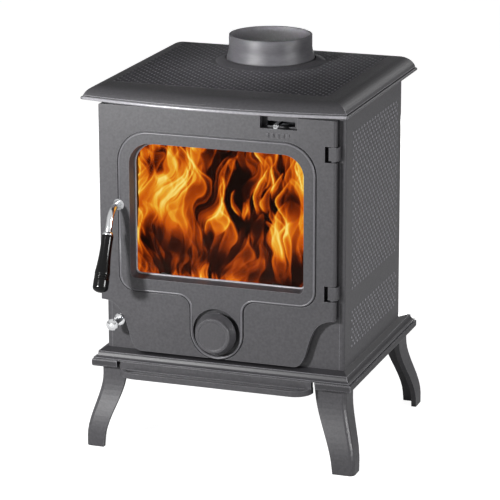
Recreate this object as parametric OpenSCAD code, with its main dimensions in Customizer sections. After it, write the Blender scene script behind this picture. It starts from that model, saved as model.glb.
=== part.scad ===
// Small cast-iron wood burning stove on four cabriole legs, with a glazed door,
// a spin air wheel, an air-wash slide, a riddling grate and a top flue collar.
// The origin is on the floor, under the middle of the whole object. The door faces -Y.

/* [Firebox shell] */
// Width over the side panels
body_w = 385; // [340:1:460]
// Depth from the front frame's face to the back panel's face
body_d = 294; // [270:1:360]
// Height of the panels between the base plate and the hob plate
body_h = 403; // [396:1:460]
// How far the shell's middle lies behind the origin
body_y = 26.1; // [0:0.1:80]
// Thickness of the cast panels
wall_t = 8; // [7:0.5:10]
// Thickness of the front frame casting
frame_t = 14; // [12:0.5:18]
// Radius of the panels' outer upright corners
corner_r = 5; // [2:0.5:7]

/* [Base plate] */
// Height of the moulded edge
base_t = 27; // [26:0.5:34]
// Thickness of the floor plate inside the moulding
floor_t = 10; // [9:0.5:12]
// How far the arris stands out past the side panels
base_side = 9.3; // [6:0.1:20]
// How far the arris stands out in front of the front frame
base_front = 16.3; // [14:0.1:30]
// How far the arris stands out behind the back panel
base_rear = 32.8; // [20:0.1:50]
// How far the lower lip stands out past the arris
lip_out = 8.2; // [6:0.1:12]
// Thickness of the skirt behind the lower lip
skirt_t = 10; // [8:0.5:11]

/* [Legs] */
// Height of the base plate's lower edge above the floor
leg_h = 129; // [100:1:200]
// Thickness of a leg's two webs
leg_t = 8; // [6:0.5:10]
// How far the foot flares out past the top of the leg, each way
leg_flare = 20; // [10:0.1:30]
// Width of the wide web at the top
wide_top = 51; // [44:0.1:54]
// Width of the wide web at the foot
wide_foot = 34; // [28:0.1:40]
// Width of the narrow web at the top
narrow_top = 42; // [40:0.1:50]
// Width of the narrow web at the foot
narrow_foot = 29; // [20:0.1:34]
// Inset of the leg tops from the lip, at the sides
leg_in_side = 11.4; // [11:0.1:20]
// Inset of the leg tops from the lip, at the front
leg_in_front = 12.5; // [12.5:0.1:26]
// Inset of the leg tops from the lip, at the rear
leg_in_rear = 11.2; // [11:0.1:22]

/* [Hob plate] */
// How far the hob's lip stands out past the side panels
hob_side = 18.2; // [14:0.1:30]
// How far the hob's front corners stand out past the front frame
hob_front = 48; // [40:0.5:60]
// How far the hob stands out behind the back panel
hob_rear = 22.5; // [5:0.5:40]
// How far the hob's front edge bows forward at its middle
hob_bow = 21; // [8:0.5:30]
// Width of the rolled edge
roll_w = 29; // [24:0.5:34]
// Rise of the rolled edge, from the lip's middle to the flat top
roll_h = 18.4; // [15:0.1:24]
// Height of the bead along the lip
bead_h = 5; // [4:0.1:6]

/* [Flue collar] */
// Inside diameter, which takes a 120 mm stove pipe
flue_id = 122; // [100:1:126]
// Wall at the rim
flue_wall = 4.2; // [4:0.1:5]
// Height of the rim above the flange
flue_h = 36; // [28:0.5:60]
// How far the collar's middle lies behind the shell's middle
flue_back = 72; // [60:1:76]
// Width of the flange round the foot
flange_w = 17; // [15:0.5:18]
// Height of the collar's foot above the hob
flange_t = 7; // [5:0.5:9]

/* [Door] */
// How far the door's left edge overhangs the side panel
door_over = 3.5; // [1:0.1:6]
// Gap between the door's right edge and the right side panel's inner face
door_gap = 3; // [2.5:0.1:6]
// Thickness of the door plate
door_t = 12; // [11.5:0.1:14]
// Rise of the moulding round the window and the air wheel
rise = 1.6; // [1:0.1:2.4]
// Gap between the door's back and the front frame, which the rope fills
door_stand = 1.5; // [1:0.1:3]
// Gap under the door
door_low = 2; // [1:0.1:5]
// Gap between the door's top and the hob's underside
door_down = 15; // [13:0.5:18]
// Height of the side ends of the curved lower corners
ogee_h = 80; // [70:1:84]
// Width of the door's bottom edge between the curved corners
bottom_w = 244; // [220:1:260]
// Largest opening angle of the door
door_swing = 110; // [90:1:120]

/* [Window] */
// Width of the window at the door's face
glass_w = 279; // [240:1:290]
// Height of the window at the door's face
glass_h = 213; // [180:1:216]
// Height of the window's lower edge above the base plate
glass_z = 119; // [118:1:124]
// Radius of the window's upper corners
glass_r_top = 34; // [20:1:50]
// Radius of the window's lower corners
glass_r_low = 8; // [4:0.5:14]
// How far the sloped sides run in from the face to the glass
reveal = 3; // [2:0.5:6]
// Thickness of the glass
glass_t = 4; // [4:0.5:5]
// Width of the moulding's border round the window
border = 18; // [14:0.5:22]

/* [Air wheel] */
// Height of the wheel's middle above the base plate
wheel_z = 44; // [42:0.5:48]
// Radius of the wheel's face
wheel_r = 28; // [24:0.5:30]
// Radius of the recess in the door round the wheel
recess_r = 38; // [36:0.5:40]
// How far the wheel's face stands out in front of the door
wheel_out = 21; // [16:0.5:26]
// Number of air ports
ports = 6; // [4:1:6]

/* [Handle] */
// Distance of the spindle from the door's left edge
spindle_in = 31; // [30:0.1:31.2]
// Height of the spindle above the base plate
spindle_z = 232.7; // [200:0.1:260]
// Radius of the spindle
spindle_r = 5; // [4:0.1:5.5]
// Tilt of the grip away from the door
grip_tilt = 23.7; // [15:0.1:30]
// Length of the grip
grip_len = 88; // [76:1:110]

/* [Firebed] */
// Height of the fire grate's top above the base plate
grate_z = 92; // [90:1:96]
// Thickness of the fire bricks
brick_t = 25; // [20:0.5:25]
// Height of the fire bricks
brick_h = 200; // [180:1:230]
// Travel of the riddling grate
riddle = 25; // [15:1:26]
// Width of the ash pan
pan_w = 160; // [120:1:164]
// Height of the ash pan's walls
pan_h = 50; // [30:1:52]

/* [Hidden] */
$fn = 64;
eps = 0.01;      // overshoot of cutting tools
slack = 0.3;     // gap between pieces that move past each other
fit = 0.06;      // radial gap of a running fit
iron = [0.42, 0.41, 0.42];
dark_iron = [0.27, 0.26, 0.26];
brick = [0.80, 0.70, 0.55];
chrome = [0.82, 0.83, 0.85];
steel = [0.60, 0.61, 0.63];
rope = [0.20, 0.20, 0.19];

// Main levels and faces
base_z = leg_h + base_t;              // top of the base plate, where the panels stand
top_z = base_z + body_h;              // top of the panels, under the hob
hob_z = top_z + roll_h;               // flat top of the hob
front = body_y - body_d / 2;          // face of the front frame
back = body_y + body_d / 2;           // face of the back panel
side = body_w / 2;                    // outer face of a side panel
inside = side - wall_t;               // inner face of a side panel
frame_back = front + frame_t;
back_in = back - wall_t;
lip_side = side + base_side + lip_out;
lip_front = front - base_front - lip_out;
lip_rear = back + base_rear + lip_out;
lip_h = 11.5;                         // height of the base plate's lower lip
arris_drop = 4;                       // fall of the base plate's top out to its arris
leg_x = lip_side - leg_in_side;
leg_front = lip_front + leg_in_front;
leg_rear = lip_rear - leg_in_rear;

// Door: edges, middle line and hinge
door_l = -side - door_over;
door_r = inside - door_gap;
mid = (door_l + door_r) / 2;          // the line on which the door's features are centred
door_back = front - door_stand;
door_face = door_back - door_t;
door_z0 = base_z + door_low;
door_z1 = top_z - door_down;
pin_x = door_r - 5.5;
pin_y = door_back - door_t / 2;
pin_r = 4;
lug_h = 20;
lug_low = base_z + 113;
lug_high = base_z + 327.6;
lug_x = pin_x - 7;
notch_x = pin_x - 12;
pin_reach = 14;                       // length of a pin in the door, past each end of its lug

// Door openings in the front frame: a wide one for the fire, a narrow one for the ash pan
collar_wall = 3;
collar_w = glass_w + 2 * (collar_wall - reveal);   // rear collar of the door, round the window
collar_z0 = base_z + glass_z - 15;
collar_z1 = base_z + glass_z + glass_h + 14;
collar_back = door_back + 5;
fire_w = collar_w + 6;
fire_z0 = collar_z0 - 4;
fire_z1 = collar_z1 + 4;
ash_w = pan_w + 13;
ash_z0 = base_z + 14;
rope_w = 5;
rope_in = 1.5;                        // distance of the rope from the opening's edge
rope_deep = 4;
spindle_x = door_l + spindle_in;
spindle_zz = base_z + spindle_z;
mortice_l = spindle_x - 10.4;
mortice_r = spindle_x + 6.3;
tongue_len = 18;
tongue_w = 11;
cam_t = 6;
catch_t = 2;
cam_y = frame_back + catch_t + 0.5;
nut_t = 6.5;
tail_r = 3;                           // the spindle's thinner end, which carries the tongue
hub_r = 6;

// Air wheel
wheel_zz = base_z + wheel_z;
recess_deep = 5;
recess_floor = door_face + recess_deep;
wheel_face = door_face - wheel_out;
port_r = 5.5;
port_pcr = 22;
axle_r = 4;

// Air-wash slide
knob_x = mid + 97;
knob_z = base_z + 375;
slide_left = 14;
slide_right = 18;
shutter_t = 2.4;
shutter_half = 145;                   // half the slide's length
catch_half = 26;                      // half the latch strip's height
shutter_z0 = knob_z - 9;
shutter_z1 = top_z - 5;
slot_w = slide_left + slide_right;
slot_pitch = 66;
slot_z = top_z - 11;
slot_h = 7;

// Firebed
bed_z = base_z + grate_z;
bed_t = 12;
bed_front = frame_back + 8;
brick_front = frame_back + 33;
brick_top = bed_z + brick_h;
baffle_t = 12;
grate_w = 188;
grate_l = 182;
grate_t = 7.7;
grate_y = body_y - 86;
rail_w = 5;
rod_r = 4;
rod_x = -inside + 13;
rod_z = base_z + 45;
arm = 8;
arm_y = body_y - 54;
arm_z = bed_z - bed_t - 2 - arm;
runner_h = 16;
pan_z = base_z + runner_h;
pan_front = frame_back + 23;
pan_l = 202;
pan_t = 2;

// Tie rods and their nuts
tie_r = 3.5;
tie_x_front = 160;
tie_y_front = brick_front - 8;
tie_x_rear = inside - brick_t / 2;
tie_y_rear = back_in - brick_t / 2;
hob_t = 8;                            // thickness of the hob's flat top
hob_under = hob_z - hob_t;            // underside of the hob inside the panels
boss_h = 10;

// Flue collar
flue_r = flue_id / 2;
flue_out = flue_r + flue_wall;        // outer radius at the rim
flue_foot = flue_out + 3.8;           // outer radius at the foot
flue_neck = flue_out - 0.5;           // radius of the neck that drops through the hob
flue_y = body_y + flue_back;
flange_r = flue_foot + flange_w;
flue_bolt_r = flue_foot + 5.5;

// Rear outlet
outlet_r = 60;
outlet_z = base_z + 322;
outlet_ring = 12;
outlet_rise = 6;
outlet_bolt_r = outlet_r + outlet_ring / 2;

// Ash lip
ash_lip_w = 310;
ash_lip_out = 18;
ash_lip_t = 9;
ash_lip_r = 28;
ash_gap = 6;
screw_x = 110;
ash_screw_y = lip_front + skirt_t - 3;

// ---------- helpers ----------

// A box from its low corner to its high corner
module block(low, high) {
    translate(low) cube(high - low);
}

// A rod along +Y from y0 to y1
module rod_y(x, z, y0, y1, r) {
    translate([x, y0, z]) rotate([-90, 0, 0]) cylinder(r = r, h = y1 - y0);
}

// A rod along +Z from z0 to z1
module rod_z(x, y, z0, z1, r) {
    translate([x, y, z0]) cylinder(r = r, h = z1 - z0);
}

// Stands a flat outline drawn in X and Z upright, from y0 to y1
module upright(y0, y1) {
    translate([0, y1, 0]) rotate([90, 0, 0]) linear_extrude(y1 - y0) children();
}

// Extrudes an outline drawn in Y and Z along X, from x0 to x1
module along_x(x0, x1) {
    translate([x0, 0, 0]) rotate([90, 0, 90]) linear_extrude(x1 - x0) children();
}

// A rectangle with its own radius at the upper and the lower corners
module rounded(x0, x1, z0, z1, r_top, r_low) {
    for (x = [x0 + r_top, x1 - r_top]) translate([x, z1 - r_top]) circle(r_top);
    for (x = [x0 + r_low, x1 - r_low]) translate([x, z0 + r_low]) circle(r_low);
    translate([x0 + r_top, z0 + r_low]) square([x1 - x0 - 2 * r_top, z1 - z0 - r_low]);
    translate([x0, z0 + r_low]) square([x1 - x0, z1 - z0 - r_low - r_top]);
    translate([x0 + r_low, z0]) square([x1 - x0 - 2 * r_low, z1 - z0 - r_top]);
}

// A point on a cubic curve with end points a, d and handles b, c
function cubic(a, b, c, d, t) = pow(1 - t, 3) * a + 3 * pow(1 - t, 2) * t * b
    + 3 * (1 - t) * t * t * c + t * t * t * d;

// A soft step from 0 to 1
function ease(t) = let (u = min(1, max(0, t))) u * u * (3 - 2 * u);

// ---------- base plate and legs ----------

// Edge of the base moulding, as [inset from the lip, height]: a cove from the arris down to a
// groove, then the lower lip
function base_edge() = concat(
    [for (i = [0:6]) let (a = 90 * i / 6)
        [1.5 + (lip_out - 1.5) * cos(a), lip_h + 2 + (base_t - arris_drop - lip_h - 2) * (1 - sin(a))]],
    [[3.4, lip_h + 1.4], [3.4, lip_h + 0.2], [1, lip_h], [0, lip_h - 1.5], [0, 2], [1.5, 0]]);

// Cross-section of the base plate between two lips, with the foot of the shell from s0 to s1
module base_section(lip0, lip1, s0, s1) {
    e = base_edge();
    polygon(concat([for (p = e) [lip1 - p[0], leg_h + p[1]]],
        [for (i = [len(e) - 1:-1:0]) [lip0 + e[i][0], leg_h + e[i][1]]],
        [[s0, base_z], [s1, base_z]]));
}

module base_plate() color(iron) difference() {
    union() {
        intersection() {
            upright(lip_front, lip_rear) base_section(-lip_side, lip_side, -side, side);
            along_x(-lip_side, lip_side) base_section(lip_front, lip_rear, front, back);
        }
        for (x = [mid - pan_w / 2 + 5, mid + pan_w / 2 - 15])
            block([x, pan_front - 8, base_z - eps], [x + 10, pan_front + pan_l, pan_z]);
    }
    block([-lip_side + skirt_t, lip_front + skirt_t, leg_h - 1],
        [lip_side - skirt_t, lip_rear - skirt_t, base_z - floor_t]);
    block([mid - ash_lip_w / 2 - ash_gap, lip_front - 1, leg_h - 1],
        [mid + ash_lip_w / 2 + ash_gap, lip_front + skirt_t + 1, leg_h + lip_h]);
    for (x = [-screw_x, 0, screw_x])
        rod_z(mid + x, ash_screw_y, leg_h, leg_h + lip_h + 2.1, 2 + fit);
    at_legs() translate([-leg_t - 13, leg_t + 13, -1]) cylinder(r = 4 + fit, h = 9);
    at_ties() translate([0, 0, base_z - floor_t - 1]) cylinder(r = tie_r + fit, h = floor_t + 2);
}

// Places children at each leg's top outer corner, turned as the identical castings are
module at_legs() {
    translate([leg_x, leg_front, base_z - floor_t]) children();
    translate([leg_x, leg_rear, base_z - floor_t]) rotate(90) children();
    translate([-leg_x, leg_rear, base_z - floor_t]) rotate(180) children();
    translate([-leg_x, leg_front, base_z - floor_t]) rotate(270) children();
}

leg_top = base_z - floor_t;           // the leg tops seat under the floor plate
leg_steps = 18;
leg_round = 8;                        // radius of the outer corner
// Sideways flare of the outer corner, at a depth below the leg's top
function flare(d) = leg_flare * ease((d - leg_top * 0.22) / (leg_top * 0.68));
// Web width at a depth below the leg's top
function web(top, foot, d) = top + (foot - top) * d / leg_top;
// Depths of the outline's stations
function leg_d() = [for (i = [0:leg_steps]) leg_top * i / leg_steps];

// Outline of one web: outer curve less o0, to the same curve less the width between o0 and w
module web_outline(o0, w_top, w_foot, out) {
    polygon(concat([for (d = leg_d()) [out * (flare(d) - o0), -d]],
        [for (i = [leg_steps:-1:0]) let (d = leg_top * i / leg_steps)
            [out * (flare(d) - web(w_top, w_foot, d)), -d]]));
}

// One leg: two webs at a corner, its outer arris rounded, and a bolting pad at the top.
// The outer corner of its top is the origin, the wide web faces -Y and the narrow one +X.
module leg() difference() {
    union() {
        intersection() {
            translate([0, 60, 0]) rotate([90, 0, 0]) linear_extrude(100)
                web_outline(0, wide_top, wide_foot, 1);
            translate([-60, 0, 0]) rotate([90, 0, 90]) linear_extrude(100)
                web_outline(0, leg_t, leg_t, -1);
        }
        intersection() {
            translate([0, 60, 0]) rotate([90, 0, 0]) linear_extrude(100)
                web_outline(0, leg_t, leg_t, 1);
            translate([-60, 0, 0]) rotate([90, 0, 90]) linear_extrude(100)
                web_outline(0, narrow_top, narrow_foot, -1);
        }
        block([-leg_t - 26, leg_t - eps, -8], [-leg_t + eps, leg_t + 26, 0]);
    }
    for (a = [20, 45, 70]) rotate(90 - a) leg_shave(a);
    translate([-leg_t - 13, leg_t + 13, -9]) cylinder(r = 4 + fit, h = 10);
}

// Takes the outer arris back to a round of radius leg_round, along the direction a
module leg_shave(a) {
    spread = sin(a) + cos(a);
    reach = leg_round * (1 - spread);
    far = 90;
    translate([60, 0, 0]) rotate([90, 0, -90]) linear_extrude(120)
        polygon(concat([[reach, 1]], [for (d = leg_d()) [reach + spread * flare(d), -d]],
            [[reach + spread * leg_flare, -leg_top - 1], [far, -leg_top - 1], [far, 1]]));
}

module leg_at(x, y, turn) {
    color(iron) translate([x, y, leg_top]) rotate(turn) leg();
}

module leg_bolts() color(steel) at_legs() translate([-leg_t - 13, leg_t + 13, 0]) {
    translate([0, 0, -8 - 5.3]) cylinder(r = 7, h = 5.3, $fn = 6);
    translate([0, 0, -8 - eps]) cylinder(r = 4, h = 8 + 7);
}

// Shelf under the base plate's front edge, dished inside a bead, with an upstand at the back
module ash_lip() color(iron) {
    y0 = lip_front - ash_lip_out;
    y1 = lip_front + skirt_t + 2;
    difference() {
        union() {
            translate([0, 0, leg_h - ash_lip_t]) linear_extrude(ash_lip_t) shelf(0, y0, y1);
            block([mid - ash_lip_w / 2, lip_front, leg_h - eps],
                [mid + ash_lip_w / 2, lip_front + skirt_t, leg_h + lip_h]);
        }
        difference() {
            translate([0, 0, leg_h - 3]) linear_extrude(4) shelf(5, y0, lip_front - 2);
            block([-lip_side, lip_front, 0], [lip_side, y1, leg_h + 9]);
        }
        for (x = [-screw_x, 0, screw_x])
            rod_z(mid + x, ash_screw_y, leg_h - 20, leg_h + 20, 2 + fit);
    }
}

// Outline of the shelf, inset all round, with rounded front corners
module shelf(inset, y0, y1) {
    w = ash_lip_w / 2 - inset;
    r = ash_lip_r - inset;
    intersection() {
        union() {
            for (s = [-1, 1]) translate([mid + s * (w - r), y0 + inset + r]) circle(r);
            translate([mid - w + r, y0 + inset]) square([2 * (w - r), 2 * r]);
            translate([mid - w, y0 + inset + r]) square([2 * w, r]);
        }
        translate([mid - w, y0 + inset]) square([2 * w, y1 - y0 - inset]);
    }
}

module ash_lip_screws() color(steel) for (x = [-screw_x, 0, screw_x]) {
    rod_z(mid + x, ash_screw_y, leg_h - ash_lip_t - 3.3, leg_h - ash_lip_t, 4);
    rod_z(mid + x, ash_screw_y, leg_h - ash_lip_t - eps, leg_h + lip_h + 1.8, 2);
}

// ---------- shell ----------

// Right side panel, with rounded outer corners and the ledge that carries the grate frame
module panel() {
    translate([0, 0, base_z]) linear_extrude(body_h) difference() {
        translate([inside, front]) square([wall_t, body_d]);
        for (s = [0, 1]) translate([side - corner_r, s ? back - corner_r : front + corner_r])
            difference() {
                translate([0, s ? 0 : -corner_r]) square([corner_r + 1, corner_r]);
                circle(corner_r);
            }
    }
    block([inside - 6, bed_front, bed_z - bed_t - 10], [inside + eps, back_in, bed_z - bed_t]);
}

module right_side_panel() color(iron) panel();

module left_side_panel() color(iron) mirror([1, 0, 0]) panel();

module back_panel() color(iron) difference() {
    union() {
        block([-inside, back_in, base_z], [inside, back, top_z]);
        rod_y(0, outlet_z, back - eps, back + outlet_rise, outlet_r + outlet_ring);
    }
    rod_y(0, outlet_z, back_in - 1, back + outlet_rise + 1, outlet_r);
    at_outlet_bolts(back - 2, back + outlet_rise + 1, 3 + fit);
}

module at_outlet_bolts(y0, y1, r) {
    for (a = [90:120:330])
        rod_y(outlet_bolt_r * cos(a), outlet_z + outlet_bolt_r * sin(a), y0, y1, r);
}

module rear_blanking_plate() color(iron) difference() {
    union() {
        rod_y(0, outlet_z, back + outlet_rise, back + outlet_rise + 5, outlet_r + outlet_ring - 1);
        rod_y(0, outlet_z, back, back + outlet_rise + eps, outlet_r - 0.4);
        rod_y(0, outlet_z, back + outlet_rise + 5 - eps, back + outlet_rise + 7, outlet_r - 14);
    }
    at_outlet_bolts(back, back + outlet_rise + 9, 3 + fit);
}

module blanking_plate_bolts() color(steel) for (a = [90:120:330])
    translate([outlet_bolt_r * cos(a), 0, outlet_z + outlet_bolt_r * sin(a)]) {
        rod_y(0, 0, back - 1, back + outlet_rise + 5 + eps, 3);
        translate([0, back + outlet_rise + 5, 0]) rotate([-90, 0, 0])
            cylinder(r = 5.6, h = 4, $fn = 6);
    }

// T-shaped opening, grown all round by a margin
module opening(grow) {
    translate([mid - fire_w / 2 - grow, fire_z0 - grow])
        square([fire_w + 2 * grow, fire_z1 - fire_z0 + 2 * grow]);
    translate([mid - ash_w / 2 - grow, ash_z0 - grow]) square([ash_w + 2 * grow, 100]);
}

module front_frame() color(dark_iron) difference() {
    union() {
        block([-inside, front, base_z], [inside, frame_back, top_z]);
        for (z = [lug_low, lug_high]) hinge_lug(z);
    }
    upright(front - 1, frame_back + 1) opening(0);
    block([mortice_l, front - 1, spindle_zz - 10], [mortice_r, frame_back + 1, spindle_zz + 24]);
    rod_y(rod_x, rod_z, front - 1, frame_back + 1, rod_r + 0.5);
    for (z = [lug_low, lug_high]) rod_z(pin_x, pin_y, z - 1, z + lug_h + 1, pin_r + fit);
    upright(front - 1, frame_back + 1) translate([knob_x - slide_left - 6, knob_z - 4])
        square([slide_left + slide_right + 12, 8]);
    upright(front - 1, frame_back + 1) slots(0);
}

// Secondary air slots above the door's top edge, moved along by dx
module slots(dx) {
    for (i = [0:3]) translate([mid + (i - 1.5) * slot_pitch - slot_w / 2 + dx, slot_z])
        square([slot_w, slot_h]);
}

// Lug on the front frame that holds a hinge pin, with rounded front corners
module hinge_lug(z) {
    r = 3;
    y0 = door_face + 0.5;
    translate([0, 0, z]) linear_extrude(lug_h) {
        translate([lug_x, y0 + r]) square([inside - lug_x, front - y0 - r + eps]);
        translate([lug_x + r, y0]) square([inside - lug_x - 2 * r, r + eps]);
        for (x = [lug_x + r, inside - r]) translate([x, y0 + r]) circle(r);
    }
}

module hinge_pins() color(steel) for (z = [lug_low, lug_high])
    rod_z(pin_x, pin_y, z - pin_reach, z + lug_h + pin_reach, pin_r);

// Hardened strip beside the mortice, which the latch tongue bears on
module door_catch() color(steel)
    block([-inside + 0.3, frame_back, spindle_zz - catch_half],
        [mortice_l - 0.3, frame_back + catch_t, spindle_zz + catch_half]);

// Two rails that hold the air-wash shutter against the frame's back
module airwash_guide() color(steel) {
    lip_y = frame_back + slack + shutter_t + slack;
    z = [shutter_z0 - slack - 4, shutter_z1 + slack];
    for (i = [0, 1]) {
        block([mid - 160, frame_back, z[i]], [mid + 160, lip_y + 2, z[i] + 4]);
        block([mid - 160, lip_y, i ? z[i] - 3 : z[i] + 4 - eps],
            [mid + 160, lip_y + 2, i ? z[i] + eps : z[i] + 7]);
    }
}

module riddling_escutcheon() color(chrome)
    translate([rod_x, front, rod_z]) rotate([90, 0, 0]) rotate_extrude()
        polygon([[rod_r + fit, 0], [10, 0], [10, 1.5], [8.8, 3], [6.2, 3.6], [rod_r + fit, 3.6]]);

// ---------- hob plate, collar and tie rods ----------

// Rolled edge of the hob, as [inset, height above the lip's middle]: the bead, a groove, the roll
function hob_edge() = let (g = bead_h / 2) concat(
    [for (i = [0:6]) let (a = -90 + 30 * i) [g * (1 - cos(a)), g * sin(a)]],
    [[g + 2, g + 0.1], [g + 2, g + 0.9], [3.2, g + 1.2]],
    [for (i = [2:10]) let (a = 9 * i) [3 + (roll_w - 3) * (1 - cos(a)), roll_h * sin(a)]]);

module hob_section() {
    w = side + hob_side;
    e = hob_edge();
    polygon(concat([for (p = e) [w - p[0], top_z + p[1]]],
        [for (i = [len(e) - 1:-1:0]) [-w + e[i][0], top_z + e[i][1]]]));
}

module top_plate() color(iron) {
    w = side + hob_side;
    bow_r = (w * w + hob_bow * hob_bow) / (2 * hob_bow);
    y0 = front - hob_front - hob_bow;
    y1 = back + hob_rear;
    difference() {
        intersection() {
            upright(y0, y1) hob_section();
            translate([0, y0 + bow_r, top_z]) rotate_extrude($fn = 360)
                polygon(concat([for (p = hob_edge()) [bow_r - p[0], p[1]]],
                    [[0, roll_h], [0, -bead_h / 2]]));
        }
        rod_z(0, flue_y, top_z - 9, hob_z + 9, flue_neck + 0.2);
        difference() {
            block([-inside, frame_back, top_z - 9], [inside, back_in, hob_under]);
            for (p = ties()) rod_z(p[0], p[1], hob_under - boss_h, hob_z, tie_r + 5);
        }
        // seat for the tops of the panels
        block([-side, front, top_z - 9], [side, back, top_z]);
        // hollow under the overhang
        block([-side - 2, front - hob_front + 12, top_z - 9], [side + 2, front - 8, top_z + 4]);
        for (p = ties()) rod_z(p[0], p[1], top_z - 9, hob_under + 4, tie_r + fit);
        at_flue_bolts(hob_under - 9, hob_z + 1, 2.5 + fit);
    }
}

module at_flue_bolts(z0, z1, r) {
    for (a = [30:120:270])
        rod_z(flue_bolt_r * cos(a), flue_y + flue_bolt_r * sin(a), z0, z1, r);
}

// Outer radius of the collar at a height above the flange: a swept foot below a straight wall
function collar_r(h) = flue_out + (flue_foot - flue_out) * pow(max(0, 1 - h / 20), 2);

// Collar with a groove round its foot and a tapered flange, and a neck that drops through the hob
module flue_collar() color(iron) difference() {
    foot_z = hob_z + flange_t;
    translate([0, flue_y, 0]) rotate_extrude($fn = 128) polygon(concat(
        [[flue_r, hob_under], [flue_neck, hob_under], [flue_neck, hob_z],
         [flange_r - 0.5, hob_z], [flange_r, hob_z + 0.4], [flange_r - 0.4, hob_z + 0.9],
         [flue_foot + 1.9, foot_z - 1.4], [flue_foot + 1.5, foot_z - 1.7],
         [flue_foot + 1.4, foot_z - 3.6], [flue_foot, foot_z - 3.6]],
        [for (i = [0:8]) [collar_r(i * 2.5), foot_z + i * 2.5]],
        [[flue_out, foot_z + flue_h - 1.2], [flue_out - 1.2, foot_z + flue_h],
         [flue_r + 1, foot_z + flue_h], [flue_r, foot_z + flue_h - 1]]));
    at_flue_bolts(hob_z - 1, hob_z + 0.4 * flange_t + 0.2, 2.5 + fit);
}

// Screws up through the hob into the flange
module flue_collar_bolts() color(steel) {
    at_flue_bolts(hob_under - eps, hob_z + 0.4 * flange_t, 2.5);
    at_flue_bolts(hob_under - 4, hob_under, 4.6);
}

function ties() = [[-tie_x_front, tie_y_front], [tie_x_front, tie_y_front],
    [-tie_x_rear, tie_y_rear], [tie_x_rear, tie_y_rear]];

module at_ties() {
    for (p = ties()) translate([p[0], p[1], 0]) children();
}

module tie_rods() color(steel) at_ties() {
    translate([0, 0, base_z - floor_t - 9]) cylinder(r = tie_r, h = hob_under - base_z + floor_t + 8);
    translate([0, 0, base_z - floor_t - 6]) cylinder(r = 6.5, h = 6, $fn = 6);
}

// ---------- lining, grate and ash pan ----------

module side_brick(s) color(brick) {
    x = s * (inside - brick_t / 2);
    half = brick_t / 2;
    difference() {
        block([x - half, brick_front, bed_z], [x + half, tie_y_rear - half, brick_top]);
        translate([x - s * half, brick_front, bed_z - 1]) rotate(45)
            translate([-4, -4, 0]) cube([8, 8, brick_h + 2]);
    }
}

module left_firebrick() side_brick(-1);

module right_firebrick() side_brick(1);

module back_firebrick() color(brick)
    block([-inside + brick_t, back_in - brick_t, bed_z],
        [inside - brick_t, back_in, brick_top]);

module baffle_plate() color(brick) difference() {
    y0 = brick_front + 20;
    block([-inside + 0.5, y0, brick_top], [inside - 0.5, back_in - 0.5, brick_top + baffle_t]);
    translate([0, y0, brick_top]) rotate([45, 0, 0]) cube([body_w, 10, 10], center = true);
    at_ties() translate([0, 0, brick_top - 1]) cylinder(r = tie_r + 0.8, h = baffle_t + 2);
}

module grate_frame() color(dark_iron) difference() {
    block([-inside + 0.2, bed_front, bed_z - bed_t], [inside - 0.2, back_in, bed_z]);
    block([mid - grate_w / 2 - 1, grate_y - riddle - 2, bed_z - grate_t - slack],
        [mid + grate_w / 2 + 1, grate_y + grate_l + 2, bed_z + 1]);
    block([mid - grate_w / 2 - 1 + rail_w, grate_y - riddle - 2, bed_z - bed_t - 1],
        [mid + grate_w / 2 + 1 - rail_w, grate_y + grate_l + 2, bed_z + 1]);
    at_ties() translate([0, 0, bed_z - bed_t - 1]) cylinder(r = tie_r + 0.8, h = bed_t + 2);
}

module riddling_grate() color(dark_iron) difference() {
    union() {
        block([mid - grate_w / 2, grate_y, bed_z - grate_t],
            [mid + grate_w / 2, grate_y + grate_l, bed_z]);
        block([mid - grate_w / 2 + rail_w + 2, arm_y - arm / 2, arm_z + arm],
            [mid - grate_w / 2 + rail_w + 14, arm_y + arm / 2, bed_z - grate_t + eps]);
    }
    for (s = [-1, 1], i = [0:9])
        grate_slot(mid + s * (grate_w / 4 - 1), grate_y + 14.5 + i * 17);
}

// One round-ended slot of the grate; none is cut over the riddling arm
module grate_slot(x, y) {
    w = grate_w / 2 - 22;
    if (x > mid || abs(y - arm_y) > arm / 2 + 4)
        translate([x, y, bed_z - grate_t - 1]) linear_extrude(grate_t + 2) {
            square([w - 8, 8], center = true);
            for (s = [-1, 1]) translate([s * (w - 8) / 2, 0]) circle(4);
        }
}

module log_guard() color(dark_iron) {
    y = bed_front + 3;
    w = fire_w - 20;
    for (z = [8, 22, 36]) block([mid - w / 2, y, bed_z + z], [mid + w / 2, y + 5, bed_z + z + 6]);
    for (i = [0:6]) let (x = mid - w / 2 + i * (w - 6) / 6)
        block([x, y, bed_z], [x + 6, y + 5, bed_z + 42]);
}

module ash_pan() color(steel) {
    x0 = mid - pan_w / 2;
    difference() {
        block([x0, pan_front, pan_z], [x0 + pan_w, pan_front + pan_l, pan_z + pan_h]);
        block([x0 + pan_t, pan_front + pan_t, pan_z + pan_t],
            [x0 + pan_w - pan_t, pan_front + pan_l - pan_t, pan_z + pan_h + 1]);
    }
    translate([mid, pan_front, pan_z + pan_h - 10]) rotate([90, 0, 0]) difference() {
        cylinder(r = 12, h = 2);
        translate([0, 0, -1]) cylinder(r = 6, h = 4);
        translate([-20, 0, -1]) cube([40, 20, 4]);
    }
}

// ---------- door ----------

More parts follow.
